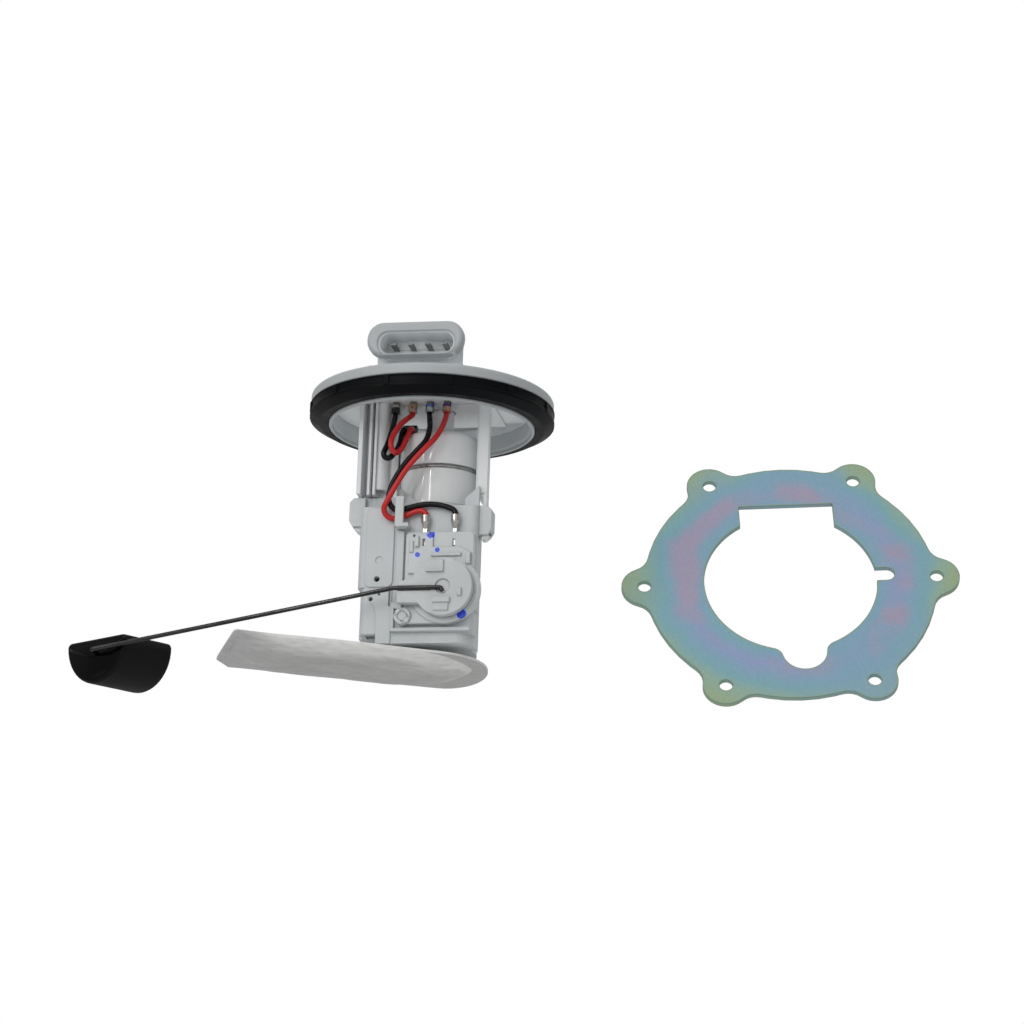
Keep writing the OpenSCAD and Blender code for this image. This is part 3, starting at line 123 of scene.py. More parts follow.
# Its belly: over what width it rises from each side and how roundly, and how square it is
RISES = {"left": (0.021, 1.6), "tail": (0.020, 1.6), "near": (0.0135, 2.0), "far": (0.0125, 1.7)}
SQUARENESS = 1.55
SOCK_COLUMNS, SOCK_ROWS, ROW_CROWDING = 130, 48, 1.6

# Clamping plate's middle
PLATE_AT = (0.1413, 0.066, -0.0508)

# Plug socket: its middle in X and Z, its sizes, and the rows of its back, each with its depth and inset
SOCKET_AT, SOCKET_WIDTH, SOCKET_HEIGHT, SOCKET_LOW = (-0.0018, 0.0294), 0.0348, 0.0136, -0.0008
SOCKET_ROWS = ((-0.01706, 0.00005), (-0.0153, 0.0004), (-0.01475, 0.0007), (-0.0145, 0.0013))

# Parts of the flange that get a paler colour as painted fill light in their shade: the ceiling, the socket's
# mouth and the socket's foot
CEILING_RADIUS, CEILING_TOP, PAINTED_FILL_BLUR = 0.040, 0.011, 0.0005
MOUTH_AT, MOUTH_HALF = (-0.0018, -0.0216, 0.0276), (0.0158, 0.0066, 0.0049)
FOOT_AT, FOOT_HALF = (-0.0018, -0.0138, 0.0208), (0.0195, 0.0064, 0.0068)

# Crimps: left and right end of their row, and the height where tab and barrel meet
CRIMPS_LEFT, CRIMPS_RIGHT, CRIMP_TOP, CRIMP_LOW = -0.016, 0.0124, 0.0052, 0.0047

# Paint dabs on the sender and an ink spot on the housing, with their radii; a dab's halo, a spot's raggedness
DABS = (((0.0066, -0.0242, -0.0526), 0.0017), ((0.0095, -0.0242, -0.0593), 0.00105),
    ((0.0014, -0.0242, -0.0612), 0.00105), ((0.0204, -0.0242, -0.0862), 0.0019))
OCHRE_DAB, INK_SPOT = ((0.0192, -0.0242, -0.0890), 0.0009), ((-0.0145, -0.0206, -0.0765), 0.0005)
HALO, RAG = 1.35, 0.5

# Camera: its angles in degrees, its focal length in pixels, and the pixel of a point on the flange's axis
VIEW_AZIMUTH, VIEW_ELEVATION, VIEW_ROLL = 11.0, -16.5, 2.0
IMAGE_SIZE, FOCAL_PIXELS, SENSOR = 1024, 2.426 * 1700, 36
AIM_AT, AIM_PIXEL = (0, 0, 0.007), (432.5, 411.75)

# Studio: half the floor's width, its height, the surroundings' strength; each lamp's place, aim, size, watts
FLOOR_HALF, FLOOR_AT, WORLD_STRENGTH = 4, -0.9, 1.10
LAMPS = {
    "strip_left": ((-0.75, -0.93, 0.33), (0, 0, -0.04), (0.035, 0.6), 1.4),
    "strip_right": ((-0.35, -1.14, 0.33), (0, 0, -0.04), (0.035, 0.6), 1.9),
    "key": ((-0.35, -1.15, 1.05), (0.03, 0, -0.05), (0.7, 0.5), 1.2),
}


class PumpSizes(bpy.types.PropertyGroup):
    """Sizes that a user would change"""

    wire_radius: FloatProperty(name="Wire radius", description="Radius of a wire's sleeve",
        default=0.00115, unit="LENGTH")
    felt_thickness: FloatProperty(name="Strainer thickness",
        description="Thickness of the pouch at its fullest", default=0.0075, unit="LENGTH")
    felt_margin: FloatProperty(name="Strainer margin", description="Width of the heat-sealed end",
        default=0.0045, unit="LENGTH")
    edge_radius: FloatProperty(name="Edge radius", description="Softness of moulded edges",
        default=0.00035, unit="LENGTH")
    camera_distance: FloatProperty(name="Camera distance", description="Camera to flange",
        default=1.7, unit="LENGTH")


class PumpColours(bpy.types.PropertyGroup):
    """Colours that a user would change"""

    body: FloatVectorProperty(name="Body", description="Hanging frame and lower housing", subtype="COLOR",
        size=3, min=0, max=1, default=(0.625, 0.655, 0.665))
    flange: FloatVectorProperty(name="Flange", description="Flange and plug socket", subtype="COLOR",
        size=3, min=0, max=1, default=(0.49, 0.515, 0.525))
    clear: FloatVectorProperty(name="Milky plastic", description="Cups round the pump", subtype="COLOR",
        size=3, min=0, max=1, default=(0.90, 0.935, 0.95))
    sender: FloatVectorProperty(name="Sender", description="Level sender's mouldings", subtype="COLOR",
        size=3, min=0, max=1, default=(0.61, 0.635, 0.64))
    plate: FloatVectorProperty(name="Plate", description="Passivated steel plate", subtype="COLOR", size=3,
        min=0, max=1, default=(0.265, 0.45, 0.60))
    felt: FloatVectorProperty(name="Felt", description="Strainer's felt", subtype="COLOR", size=3,
        min=0, max=1, default=(0.90, 0.905, 0.89))
    red: FloatVectorProperty(name="Red wire", description="Red sleeve", subtype="COLOR", size=3,
        min=0, max=1, default=(0.56, 0.02, 0.022))


def sizes():
    return bpy.context.scene.pump_sizes


def colours():
    return bpy.context.scene.pump_colours


# Nodes

def feed(tree, socket, value):
    """Links a source to a socket, or sets the socket; a colour is given without its alpha."""
    if hasattr(value, "is_output"):
        tree.links.new(value, socket)
    elif socket.type == "RGBA":
        socket.default_value = (*value, 1)
    else:
        socket.default_value = value


def add(tree, kind, inputs=(), **settings):
    """A node with its properties set and its inputs fed."""
    node = tree.nodes.new(kind)
    for key, value in settings.items():
        setattr(node, key, value)
    for key, value in dict(inputs).items():
        feed(tree, node.inputs[key], value)
    return node


def maths(tree, operation, *terms):
    """Result of a Math node, whose terms are sources or numbers."""
    return add(tree, "ShaderNodeMath", enumerate(terms), operation=operation).outputs[0]


def vectors(tree, operation, *terms):
    """Result of a Vector Math node, which is a number for lengths and products."""
    node = add(tree, "ShaderNodeVectorMath", enumerate(terms), operation=operation)
    return node.outputs["Value" if operation in ("DISTANCE", "DOT_PRODUCT", "LENGTH") else "Vector"]


def part(tree, vector, axis):
    return add(tree, "ShaderNodeSeparateXYZ", {0: vector}).outputs[axis]


def fade(tree, value, start, end, most=1.0):
    """Rises from 0 to most as a value goes from start to end."""
    limits = {"Value": value, "From Min": start, "From Max": end, "To Max": most}
    return add(tree, "ShaderNodeMapRange", limits).outputs[0]


def object_coords(tree):
    return add(tree, "ShaderNodeTexCoord").outputs["Object"]


def noise_of(tree, coords, scale, detail=4.0, roughness=0.5):
    settings = {"Vector": coords, "Scale": scale, "Detail": detail, "Roughness": roughness}
    return add(tree, "ShaderNodeTexNoise", settings).outputs[0]


def streaked(tree, coords, scale, turn, stretch, detail=4.0):
    """Noise drawn out along one direction that lies at a turn about Z."""
    place = {"Vector": coords, "Rotation": (0, 0, turn), "Scale": stretch}
    along = add(tree, "ShaderNodeMapping", place, vector_type="TEXTURE")
    return noise_of(tree, along.outputs[0], scale, detail)


def ramp(tree, source, stops, interpolation="LINEAR"):
    """Greys or colours along a source."""
    node = add(tree, "ShaderNodeValToRGB", {"Fac": source})
    node.color_ramp.interpolation = interpolation
    elements = node.color_ramp.elements
    while len(elements) < len(stops):
        elements.new(0.5)
    for element, (at, value) in zip(elements, stops):
        element.position = at
        element.color = (*value, 1) if hasattr(value, "__len__") else (value, value, value, 1)
    return node.outputs["Color"]


def mix_colour(tree, factor, a, b, blend="MIX"):
    return add(tree, "ShaderNodeMix", {0: factor, 6: a, 7: b}, data_type="RGBA", blend_type=blend).outputs[2]


def dim(colour, by):
    return tuple(c * by for c in colour)


# Masks

def near(tree, coords, place, radius):
    """White inside a ragged spot round a place."""
    gap = vectors(tree, "DISTANCE", coords, place)
    gap = maths(tree, "MULTIPLY_ADD", noise_of(tree, coords, 600, 2), radius * RAG, gap)
    return fade(tree, gap, radius * (1.12 + RAG / 2), radius * (0.94 + RAG / 2))


def edge_mask(tree, radius, faint, full):
    """Rises towards edges, where a rounded normal leans from the true one."""
    rounded = add(tree, "ShaderNodeBevel", {"Radius": radius}, samples=8).outputs[0]
    true = add(tree, "ShaderNodeNewGeometry").outputs["Normal"]
    return fade(tree, vectors(tree, "DOT_PRODUCT", rounded, true), faint, full)


def inside_box(tree, coords, centre, half):
    """White inside a box, with soft faces."""
    place = vectors(tree, "DIVIDE", vectors(tree, "SUBTRACT", coords, centre), half)
    place = vectors(tree, "ABSOLUTE", place)
    most = maths(tree, "MAXIMUM", part(tree, place, "X"), part(tree, place, "Y"))
    return fade(tree, maths(tree, "MAXIMUM", most, part(tree, place, "Z")), 1.05, 0.97)


def painted_fill_mask(tree, coords):
    """White on the flange's ceiling and in the socket's mouth and foot, which are in shade and get a paler
    colour as painted fill light.
    """
    reach = vectors(tree, "LENGTH", vectors(tree, "MULTIPLY", coords, (1, 1, 0)))
    inside = fade(tree, reach, CEILING_RADIUS + PAINTED_FILL_BLUR, CEILING_RADIUS - PAINTED_FILL_BLUR)
    under = fade(tree, part(tree, coords, "Z"), CEILING_TOP + PAINTED_FILL_BLUR, CEILING_TOP - PAINTED_FILL_BLUR)
    mask = maths(tree, "MULTIPLY", inside, under)
    for box in ((MOUTH_AT, MOUTH_HALF), (FOOT_AT, FOOT_HALF)):
        mask = maths(tree, "MAXIMUM", mask, inside_box(tree, coords, *box))
    return mask


# Materials

def new_material(name, **settings):
    """A Principled material with its constants set on the shader's own sockets."""
    m = bpy.data.materials.new(name)
    m.use_nodes = True
    shader = m.node_tree.nodes["Principled BSDF"]
    for key, value in settings.items():
        shader.inputs[key.replace("_", " ")].default_value = value
    return m, m.node_tree, shader


def colour_and_gloss(tree, shader, colour, roughness):
    tree.links.new(colour, shader.inputs["Base Color"])
    tree.links.new(roughness, shader.inputs["Roughness"])


def relief(tree, shader, height, strength, distance, edge=None):
    """Bump from a height, over edges rounded in shading."""
    inputs = {"Height": height, "Strength": strength, "Distance": distance}
    if edge:
        inputs["Normal"] = add(tree, "ShaderNodeBevel", {"Radius": edge}, samples=4).outputs[0]
    tree.links.new(add(tree, "ShaderNodeBump", inputs).outputs[0], shader.inputs["Normal"])


def plastic(name, colour, rough, scatter, edge=None, marks=(), edge_darkening=0.0, painted_fill_colour=None):
    """Moulded plastic that light enters a little: flow marks, specks, edges and creases darkened in patches,
    paint dabs, and a paler colour as painted fill light where one is given.
    """
    m, t, s = new_material(name, Subsurface_Weight=scatter, Subsurface_Radius=(1.0, 1.1, 1.2),
        Subsurface_Scale=0.0025, IOR=1.5)
    xyz = object_coords(t)
    cloud = ramp(t, noise_of(t, xyz, 38, 3), [(0.35, 0.0), (0.7, 1.0)])
    base = mix_colour(t, cloud, dim(colour, 0.95), colour)
    # Painted fill light: a paler colour on the flange's shaded ceiling and socket
    if painted_fill_colour:
        base = mix_colour(t, painted_fill_mask(t, xyz), base, painted_fill_colour)
    flow = ramp(t, streaked(t, xyz, 160, 0, (1, 1, 5), 3), [(0.45, 0.0), (0.8, 0.35)])
    base = mix_colour(t, flow, base, dim(colour, 1.08))
    speck = ramp(t, noise_of(t, xyz, 380, 2), [(0.70, 0.0), (0.78, 0.4)])
    base = mix_colour(t, speck, base, dim(colour, 0.6))
    # Darker in patches along edges and creases, where a rounded normal leans from the true one
    if edge_darkening:
        edge_patches = maths(t, "MULTIPLY", edge_mask(t, 0.0012, 0.97, 0.75), noise_of(t, xyz, 150, 3))
        base = mix_colour(t, maths(t, "MULTIPLY", edge_patches, edge_darkening), base, dim(colour, 0.55))
    for place, radius, paint in marks:
        base = mix_colour(t, near(t, xyz, place, radius), base, paint)
    gloss = ramp(t, noise_of(t, xyz, 90, 4), [(0.3, rough - 0.04), (0.75, rough + 0.08)])
    colour_and_gloss(t, s, base, gloss)
    relief(t, s, noise_of(t, xyz, 240, 3), 0.10, 0.0002, edge)
    return m


def rubber(name, colour, rough, edge=None, grain=900, level=0.35, dust=1.8):
    """Black rubber or a wire's sleeve, with a fine grain and a little dust."""
    m, t, s = new_material(name, IOR=1.5, Specular_IOR_Level=level)
    xyz = object_coords(t)
    dusty = ramp(t, noise_of(t, xyz, 60, 5, 0.6), [(0.45, 0.0), (0.8, 1.0)])
    gloss = ramp(t, noise_of(t, xyz, 120, 3), [(0.3, rough - 0.06), (0.75, rough + 0.08)])
    colour_and_gloss(t, s, mix_colour(t, dusty, colour, dim(colour, dust)), gloss)
    relief(t, s, noise_of(t, xyz, grain, 2), 0.25, 0.00015, edge)
    return m


def foam(name, colour):
    """Closed-cell foam: a smooth skin on the near end, a fine pebbled skin round the sides."""
    m, t, s = new_material(name, IOR=1.5, Specular_IOR_Level=0.14)
    xyz = object_coords(t)
    axis = Matrix.Rotation(FLOAT_TURN, 3, "Z") @ Matrix.Rotation(FLOAT_TILT, 3, "X") @ Vector((0, 1, 0))
    start = axis.dot(Vector(FLOAT_AT))
    side = fade(t, vectors(t, "DOT_PRODUCT", xyz, axis), start - 0.0002, start + 0.0030)
    patch = ramp(t, noise_of(t, xyz, 70, 5, 0.6), [(0.4, 0.0), (0.75, 1.0)])
    skin = mix_colour(t, patch, dim(colour, 2.2), dim(colour, 3.6))
    gloss = ramp(t, side, [(0.0, 0.12), (0.35, 0.5), (1.0, 0.6)])
    colour_and_gloss(t, s, mix_colour(t, side, colour, skin), gloss)
    relief(t, s, maths(t, "MULTIPLY", noise_of(t, xyz, 1500, 2), side), 0.35, 0.0002)
    return m


def metal(name, colour, rough, brushed=(1, 1, 1)):
    """Bare metal with drawn lines and slight tarnish."""
    m, t, s = new_material(name, Metallic=1.0)
    xyz = object_coords(t)
    stain = ramp(t, noise_of(t, xyz, 110, 4), [(0.4, 0.0), (0.75, 1.0)])
    along = add(t, "ShaderNodeMapping", {"Vector": xyz, "Scale": brushed}).outputs[0]
    lines = noise_of(t, along, 900, 3, 0.6)
    gloss = ramp(t, lines, [(0.3, rough - 0.07), (0.7, rough + 0.09)])
    colour_and_gloss(t, s, mix_colour(t, stain, colour, dim(colour, 0.72)), gloss)
    relief(t, s, lines, 0.12, 0.0001)
    return m


def crimps(name, tabs, barrels):
    """Four crimps, each soiled in its own way: tabs at the ceiling, barrels round the wires."""
    m, t, s = new_material(name, Metallic=0.7)
    xyz = object_coords(t)
    across = fade(t, part(t, xyz, "X"), CRIMPS_LEFT, CRIMPS_RIGHT)
    tones = [ramp(t, across, [(k / len(row), tone) for k, tone in enumerate(row)], "CONSTANT")
        for row in (tabs, barrels)]
    ragged = maths(t, "MULTIPLY_ADD", noise_of(t, xyz, 500, 2), 0.0012, part(t, xyz, "Z"))
    base = mix_colour(t, fade(t, ragged, CRIMP_TOP, CRIMP_LOW), *tones)
    burnt = ramp(t, noise_of(t, xyz, 420, 4, 0.6), [(0.46, 0.0), (0.64, 0.75)])
    base = mix_colour(t, burnt, base, (0.045, 0.04, 0.04))
    colour_and_gloss(t, s, base, ramp(t, burnt, [(0.0, 0.25), (1.0, 0.6)]))
    relief(t, s, noise_of(t, xyz, 700, 3), 0.3, 0.0002, 0.0002)
    return m


def zinc(name, colour):
    """Passivated zinc, whose film tints it violet in mid band, then blue, teal and green to the rims."""
    m, t, s = new_material(name, Metallic=0.2, Coat_Weight=0.1, Coat_Roughness=0.35)
    xyz = object_coords(t)
    green, ochre, teal = (0.34, 0.51, 0.38), (0.40, 0.50, 0.24), (0.24, 0.48, 0.53)
    violet, rose = (0.34, 0.40, 0.65), (0.45, 0.38, 0.52)
    rim, cut_edge = (0.30, 0.44, 0.30), (0.13, 0.16, 0.12)
    reach = vectors(t, "DISTANCE", xyz, PLATE_AT)
    film = fade(t, maths(t, "MULTIPLY_ADD", noise_of(t, xyz, 42, 3), 0.016, reach), 0.042, 0.080)
    base = ramp(t, film, [(0.0, green), (0.07, teal), (0.18, colour), (0.31, violet), (0.45, colour),
        (0.58, teal), (0.74, green), (0.96, ochre)])
    blotch = ramp(t, noise_of(t, xyz, 16, 2), [(0.44, 0.0), (0.58, 0.75)])
    base = mix_colour(t, blotch, base, colour)
    band = ramp(t, film, [(0.14, 0.0), (0.26, 1.0), (0.38, 1.0), (0.52, 0.0)])
    left = fade(t, part(t, xyz, "X"), 0.135, 0.095, 0.12)
    patch = maths(t, "ADD", noise_of(t, xyz, 33, 3, 0.55), left)
    rosy = maths(t, "MULTIPLY", ramp(t, patch, [(0.50, 0.0), (0.64, 1.0)]), band)
    base = mix_colour(t, rosy, base, rose)
    base = mix_colour(t, edge_mask(t, 0.0026, 0.995, 0.80), base, rim)
    base = mix_colour(t, edge_mask(t, 0.0007, 0.95, 0.72), base, cut_edge)
    fine = ramp(t, noise_of(t, xyz, 1300, 3), [(0.35, 0.30), (0.65, 0.0)])
    gloss = ramp(t, noise_of(t, xyz, 240, 4), [(0.3, 0.42), (0.75, 0.58)])
    colour_and_gloss(t, s, mix_colour(t, fine, base, dim(colour, 0.7)), gloss)
    relief(t, s, noise_of(t, xyz, 800, 3), 0.1, 0.0001, 0.0003)
    return m


def felt(name, colour):
    """Spun felt: matted fibres drawn along the pouch, soft sheen, cloudy density, and painted shade where it
    faces down and at its welded left end.
    """
    m, t, s = new_material(name, Sheen_Weight=0.25, Sheen_Roughness=0.5, IOR=1.4, Specular_IOR_Level=0.2,
        Subsurface_Weight=0.2, Subsurface_Radius=(1, 1, 1), Subsurface_Scale=0.002, Roughness=0.92)
    xyz = object_coords(t)
    strands = streaked(t, xyz, 900, SOCK_TURN, (5, 1, 1), 5)
    drawn = streaked(t, xyz, 190, SOCK_TURN + 0.05, (4.5, 1, 1), 4)
    cloud = ramp(t, noise_of(t, xyz, 70, 3), [(0.35, 0.0), (0.7, 1.0)])
    base = mix_colour(t, cloud, dim(colour, 0.93), colour)
    base = mix_colour(t, ramp(t, drawn, [(0.45, 0.0), (0.72, 0.45)]), base, dim(colour, 1.1))
    base = mix_colour(t, ramp(t, drawn, [(0.30, 0.4), (0.45, 0.0)]), base, dim(colour, 0.85))
    base = mix_colour(t, ramp(t, strands, [(0.35, 0.45), (0.55, 0.0)]), base, dim(colour, 0.72))
    # Painted shade: darker where the felt faces down and towards its welded left end, where less light falls
    lean = part(t, add(t, "ShaderNodeNewGeometry").outputs["Normal"], "Z")
    painted_shade = mix_colour(t, fade(t, lean, -0.86, -0.995), (1, 1, 1), (0.58, 0.575, 0.58))
    along = vectors(t, "DOT_PRODUCT", xyz, (math.cos(SOCK_TURN), math.sin(SOCK_TURN), 0))
    along = maths(t, "MULTIPLY_ADD", noise_of(t, xyz, 120, 3), 0.008, along)
    weld = SOCK_TAIL - SOCK_LENGTH + SOCK_AT[0] + 0.004
    painted_shade = mix_colour(t, fade(t, along, weld + 0.020, weld + 0.003), painted_shade, (0.60, 0.60, 0.605))
    t.links.new(mix_colour(t, 1.0, base, painted_shade, "MULTIPLY"), s.inputs["Base Color"])
    relief(t, s, maths(t, "ADD", strands, drawn), 0.55, 0.0004)
    return m


def make_materials():
    c, edge = colours(), sizes().edge_radius
    blue, halo, ochre, ink = (0.02, 0.07, 0.68), (0.52, 0.62, 0.92), (0.62, 0.58, 0.40), (0.02, 0.02, 0.025)
    dabs = [(place, radius * HALO, halo) for place, radius in DABS]
    dabs += [(place, radius, blue) for place, radius in DABS]
    dabs.append((*OCHRE_DAB, ochre))
    mould = dict(edge=edge, edge_darkening=0.55)
    soft_edged = dict(edge=edge * 1.8, edge_darkening=0.15)
    return {
        "white": plastic("white_moulding", tuple(c.body), 0.42, 0.22, marks=[(*INK_SPOT, ink)], **mould),
        # The frame is the body's plastic in a paler colour: painted fill light for its shaded columns
        "frame": plastic("frame_painted_fill", (0.87, 0.89, 0.90), 0.42, 0.22, **mould),
        # The flange's paler second colour is painted fill light on its shaded ceiling and socket
        "flange": plastic("flange_moulding", tuple(c.flange), 0.45, 0.2, painted_fill_colour=(0.88, 0.91, 0.92), **mould),
        "clear": plastic("milky_plastic", tuple(c.clear), 0.12, 0.35, edge),
        "sender": plastic("sender_plastic", tuple(c.sender), 0.22, 0.3, marks=dabs, **soft_edged),
        "holder": plastic("holder_plastic", tuple(c.sender), 0.16, 0.3, **soft_edged),
        "black": rubber("black_moulding", (0.008, 0.008, 0.009), 0.4, edge),
        "seal": rubber("seal_rubber", (0.0022, 0.0026, 0.0035), 0.45, 0.0006, level=0.09),
        "foam": foam("foam_skin", (0.0022, 0.0022, 0.0022)),
        "sleeve_black": rubber("black_sleeve", (0.003, 0.003, 0.0035), 0.28, None, 300, 0.25),
        "sleeve_red": rubber("red_sleeve", tuple(c.red), 0.3, None, 300, 0.4, 1.15),
        "steel": metal("bright_steel", (0.50, 0.49, 0.48), 0.2, (0.2, 0.2, 4)),
        "tin": metal("tinned_contact", (0.66, 0.64, 0.60), 0.25),
        "blade": metal("dull_blade", (0.26, 0.26, 0.25), 0.55),
        "cast": metal("cast_aluminium", (0.55, 0.56, 0.57), 0.45),
        "copper": metal("copper_alloy", (0.55, 0.36, 0.22), 0.35),
        "crimp": crimps("soiled_crimp",
            tabs=[(0.50, 0.49, 0.46), (0.66, 0.34, 0.20), (0.10, 0.17, 0.42), (0.10, 0.05, 0.22)],
            barrels=[(0.03, 0.03, 0.03), (0.55, 0.40, 0.32), (0.50, 0.52, 0.54), (0.62, 0.36, 0.24)]),
        "carbon": rubber("carbon", (0.02, 0.02, 0.022), 0.5),
        "rod": metal("dark_wire", (0.06, 0.06, 0.062), 0.2, (0.12, 1, 1)),
        "ceramic": plastic("fired_card", (0.7, 0.67, 0.58), 0.5, 0.0),
        "plate": zinc("passivated_zinc", tuple(c.plate)),
        "felt": felt("spun_felt", tuple(c.felt)),
    }


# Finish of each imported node, by the material's key
FINISH = {
    "white": ("lower_housing", "sock_mount"),
    "frame": ("upper_frame",),
    "flange": ("flange",),
    "clear": ("pump_cap", "pump_sleeve"),
    "sender": ("sender_base",),
    "holder": ("arm_holder",),
    "black": ("pump_outlet_cover", "impeller", "pump_plug"),
    "seal": ("flange_seal", "outlet_o_ring", "check_valve"),
    "foam": ("float",),
    "sleeve_black": ("pump_wire_black", "sender_wire_black"),
    "sleeve_red": ("pump_wire_red", "sender_wire_red"),
    "steel": ("pump_can", "rotor_shaft", "brush_springs", "check_valve_spring", "regulator_body",
        "regulator_valve", "regulator_spring", "regulator_cap"),
    "tin": ("sender_terminals",),
    "blade": ("connector_pins",),
    "cast": ("pump_inlet_cover", "chamber_plate"),
    "copper": ("armature", "commutator", "upper_bearing", "lower_bearing", "wiper"),
    "crimp": ("flange_terminals",),
    "carbon": ("magnets", "brushes"),
    "rod": ("float_arm",),
    "ceramic": ("resistor_card",),
    "plate": ("retaining_plate",),
    "felt": ("filter_sock",),
}
MATERIALS = {}


def set_material(obj, material):
    obj.data.materials.clear()
    obj.data.materials.append(material)


def link_to_scene(name, data):
    obj = bpy.data.objects.new(name, data)
    bpy.context.scene.collection.objects.link(obj)
    return obj


def link_piece(name, data, material, body, replaced=None):
    """A piece that rides on a body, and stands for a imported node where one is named."""
    obj = link_to_scene(name, data)
    set_material(obj, MATERIALS[material])
    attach(obj, body)
    if replaced:
        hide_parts(replaced)
    return obj


# Curves

def smooth_route(points, steps=8):
    """Points along a Catmull-Rom curve through the route."""
    p = [Vector(q) for q in points]
    p = [2 * p[0] - p[1]] + p + [2 * p[-1] - p[-2]]
    out = []
    for a, b, c, d in zip(p, p[1:], p[2:], p[3:]):
        for k in range(steps):
            t = k / steps
            out.append(0.5 * (2 * b + (c - a) * t + (2 * a - 5 * b + 4 * c - d) * t * t
                + (3 * b - a - 3 * c + d) * t ** 3))
    return out + [p[-2]]


def round_corners(points, radius, steps=8):
    """A route whose inner corners are arcs."""
    p = [Vector(q) for q in points]
    out = [p[0]]
    for a, b, c in zip(p, p[1:], p[2:]):
        u, v = (a - b).normalized(), (c - b).normalized()
        half = u.angle(v) / 2
        back = radius / math.tan(half)
        middle = b + (u + v).normalized() * (radius / math.sin(half))
        start, end = b + u * back - middle, b + v * back - middle
        for k in range(steps + 1):
            out.append(middle + start.slerp(end, k / steps).normalized() * radius)
    return out + [p[-1]]


def tube(name, points, radius):
    """A round, capped tube along points."""
    curve = bpy.data.curves.new(name, "CURVE")
    curve.dimensions = "3D"
    curve.bevel_depth = radius
    curve.bevel_resolution = 6
    curve.use_fill_caps = True
    spline = curve.splines.new("POLY")
    spline.points.add(len(points) - 1)
    for q, p in zip(spline.points, points):
        q.co = (*p, 1)
    spline.use_smooth = True
    return curve


# Meshes

def mesh_from(name, build):
    """A smooth mesh made by a function that fills it."""
    bm = bmesh.new()
    build(bm)
    bmesh.ops.recalc_face_normals(bm, faces=bm.faces)
    mesh = bpy.data.meshes.new(name)
    bm.to_mesh(mesh)
    bm.free()
    for face in mesh.polygons:
        face.use_smooth = True
    return mesh


def bridge(bm, first, second):
    """Faces between two closed loops of vertices."""
    for i in range(len(first)):
        j = (i + 1) % len(first)
        bm.faces.new((first[i], first[j], second[j], second[i]))


def float_loop(inset):
    """The float's D section, drawn in by an inset, as points in X and Z."""
    r, c = FLOAT_WIDTH / 2 - inset, FLOAT_TOP_EDGE
    low = -(FLOAT_HEIGHT - FLOAT_WIDTH / 2)
    corner = [math.radians(15 * k) for k in range(7)]
    under = [math.radians(180 + 7.5 * k) for k in range(25)]
    pts = [(r - c + c * math.cos(a), -inset - c + c * math.sin(a)) for a in corner]
    pts += [(-x, z) for x, z in reversed(pts)]
    return pts + [(r * math.cos(a), low + r * math.sin(a)) for a in under]


def build_float(bm):
    """The D section along the float's length, with rolled end edges and a crowned near end."""
    lean = Matrix.Rotation(FLOAT_TURN, 4, "Z") @ Matrix.Rotation(FLOAT_TILT, 4, "X")
    place = Matrix.Translation(FLOAT_AT) @ lean

    def loop(points, y):
        return [bm.verts.new(place @ Vector((x, y, z))) for x, z in points]

    turns = [math.radians(90 - 18 * k) for k in range(6)]
    rows = [(FLOAT_END_EDGE * (1 - math.sin(a)), FLOAT_END_EDGE * (1 - math.cos(a))) for a in turns]
    rows += [(FLOAT_LENGTH - y, inset) for y, inset in reversed(rows)]
    loops = [loop(float_loop(inset), y) for y, inset in rows]
    for a, b in zip(loops, loops[1:]):
        bridge(bm, a, b)
    bm.faces.new(loops[-1])

    middle = -FLOAT_HEIGHT * FLOAT_CROWN_AT
    last = loops[0]
    for share in (0.85, 0.7, 0.55, 0.4, 0.25, 0.1):
        points = [(x * share, middle + (z - middle) * share) for x, z in float_loop(rows[0][1])]
        ring = loop(points, -FLOAT_CROWN * (1 - share * share))
        bridge(bm, ring, last)
        last = ring
    bm.faces.new(last)


def build_coil(bm, low, high, radius, wire, turns):
    """A wire that winds up about a box's middle line between two heights."""
    x, y = (low[0] + high[0]) / 2, (low[1] + high[1]) / 2
    bottom, top = low[2] + wire, high[2] - wire
    steps, sides = turns * 20, 8
    rings = []
    for k in range(steps + 1):
        turn = math.tau * turns * k / steps
        out = Vector((math.cos(turn), math.sin(turn), 0))
        middle = Vector((x, y, bottom + (top - bottom) * k / steps)) + out * radius
        rings.append([bm.verts.new(middle + (out * math.cos(a) + Vector((0, 0, math.sin(a)))) * wire)
            for a in [math.tau * i / sides for i in range(sides)]])
    for a, b in zip(rings, rings[1:]):
        bridge(bm, a, b)
    bm.faces.new(rings[0])
    bm.faces.new(rings[-1])


def build_socket_back(bm):
    """Closes the plug socket's housing behind its mouth, with a rolled rear edge."""
    rows = []
    for y, inset in SOCKET_ROWS:
        half, radius = SOCKET_WIDTH / 2 - inset, SOCKET_HEIGHT / 2 - inset
        turns = [math.radians(9 * k) for k in range(11)]
        arc = [(half - radius + radius * math.cos(a), radius * math.sin(a)) for a in turns]
        loop = [(half, SOCKET_LOW)] + arc + [(-x, z) for x, z in reversed(arc)] + [(-half, SOCKET_LOW)]
        rows.append([bm.verts.new((SOCKET_AT[0] + x, y, SOCKET_AT[1] + z)) for x, z in loop])
    for a, b in zip(rows, rows[1:]):
        bridge(bm, a, b)
    bm.faces.new(rows[0])
    bm.faces.new(rows[-1])


# Strainer

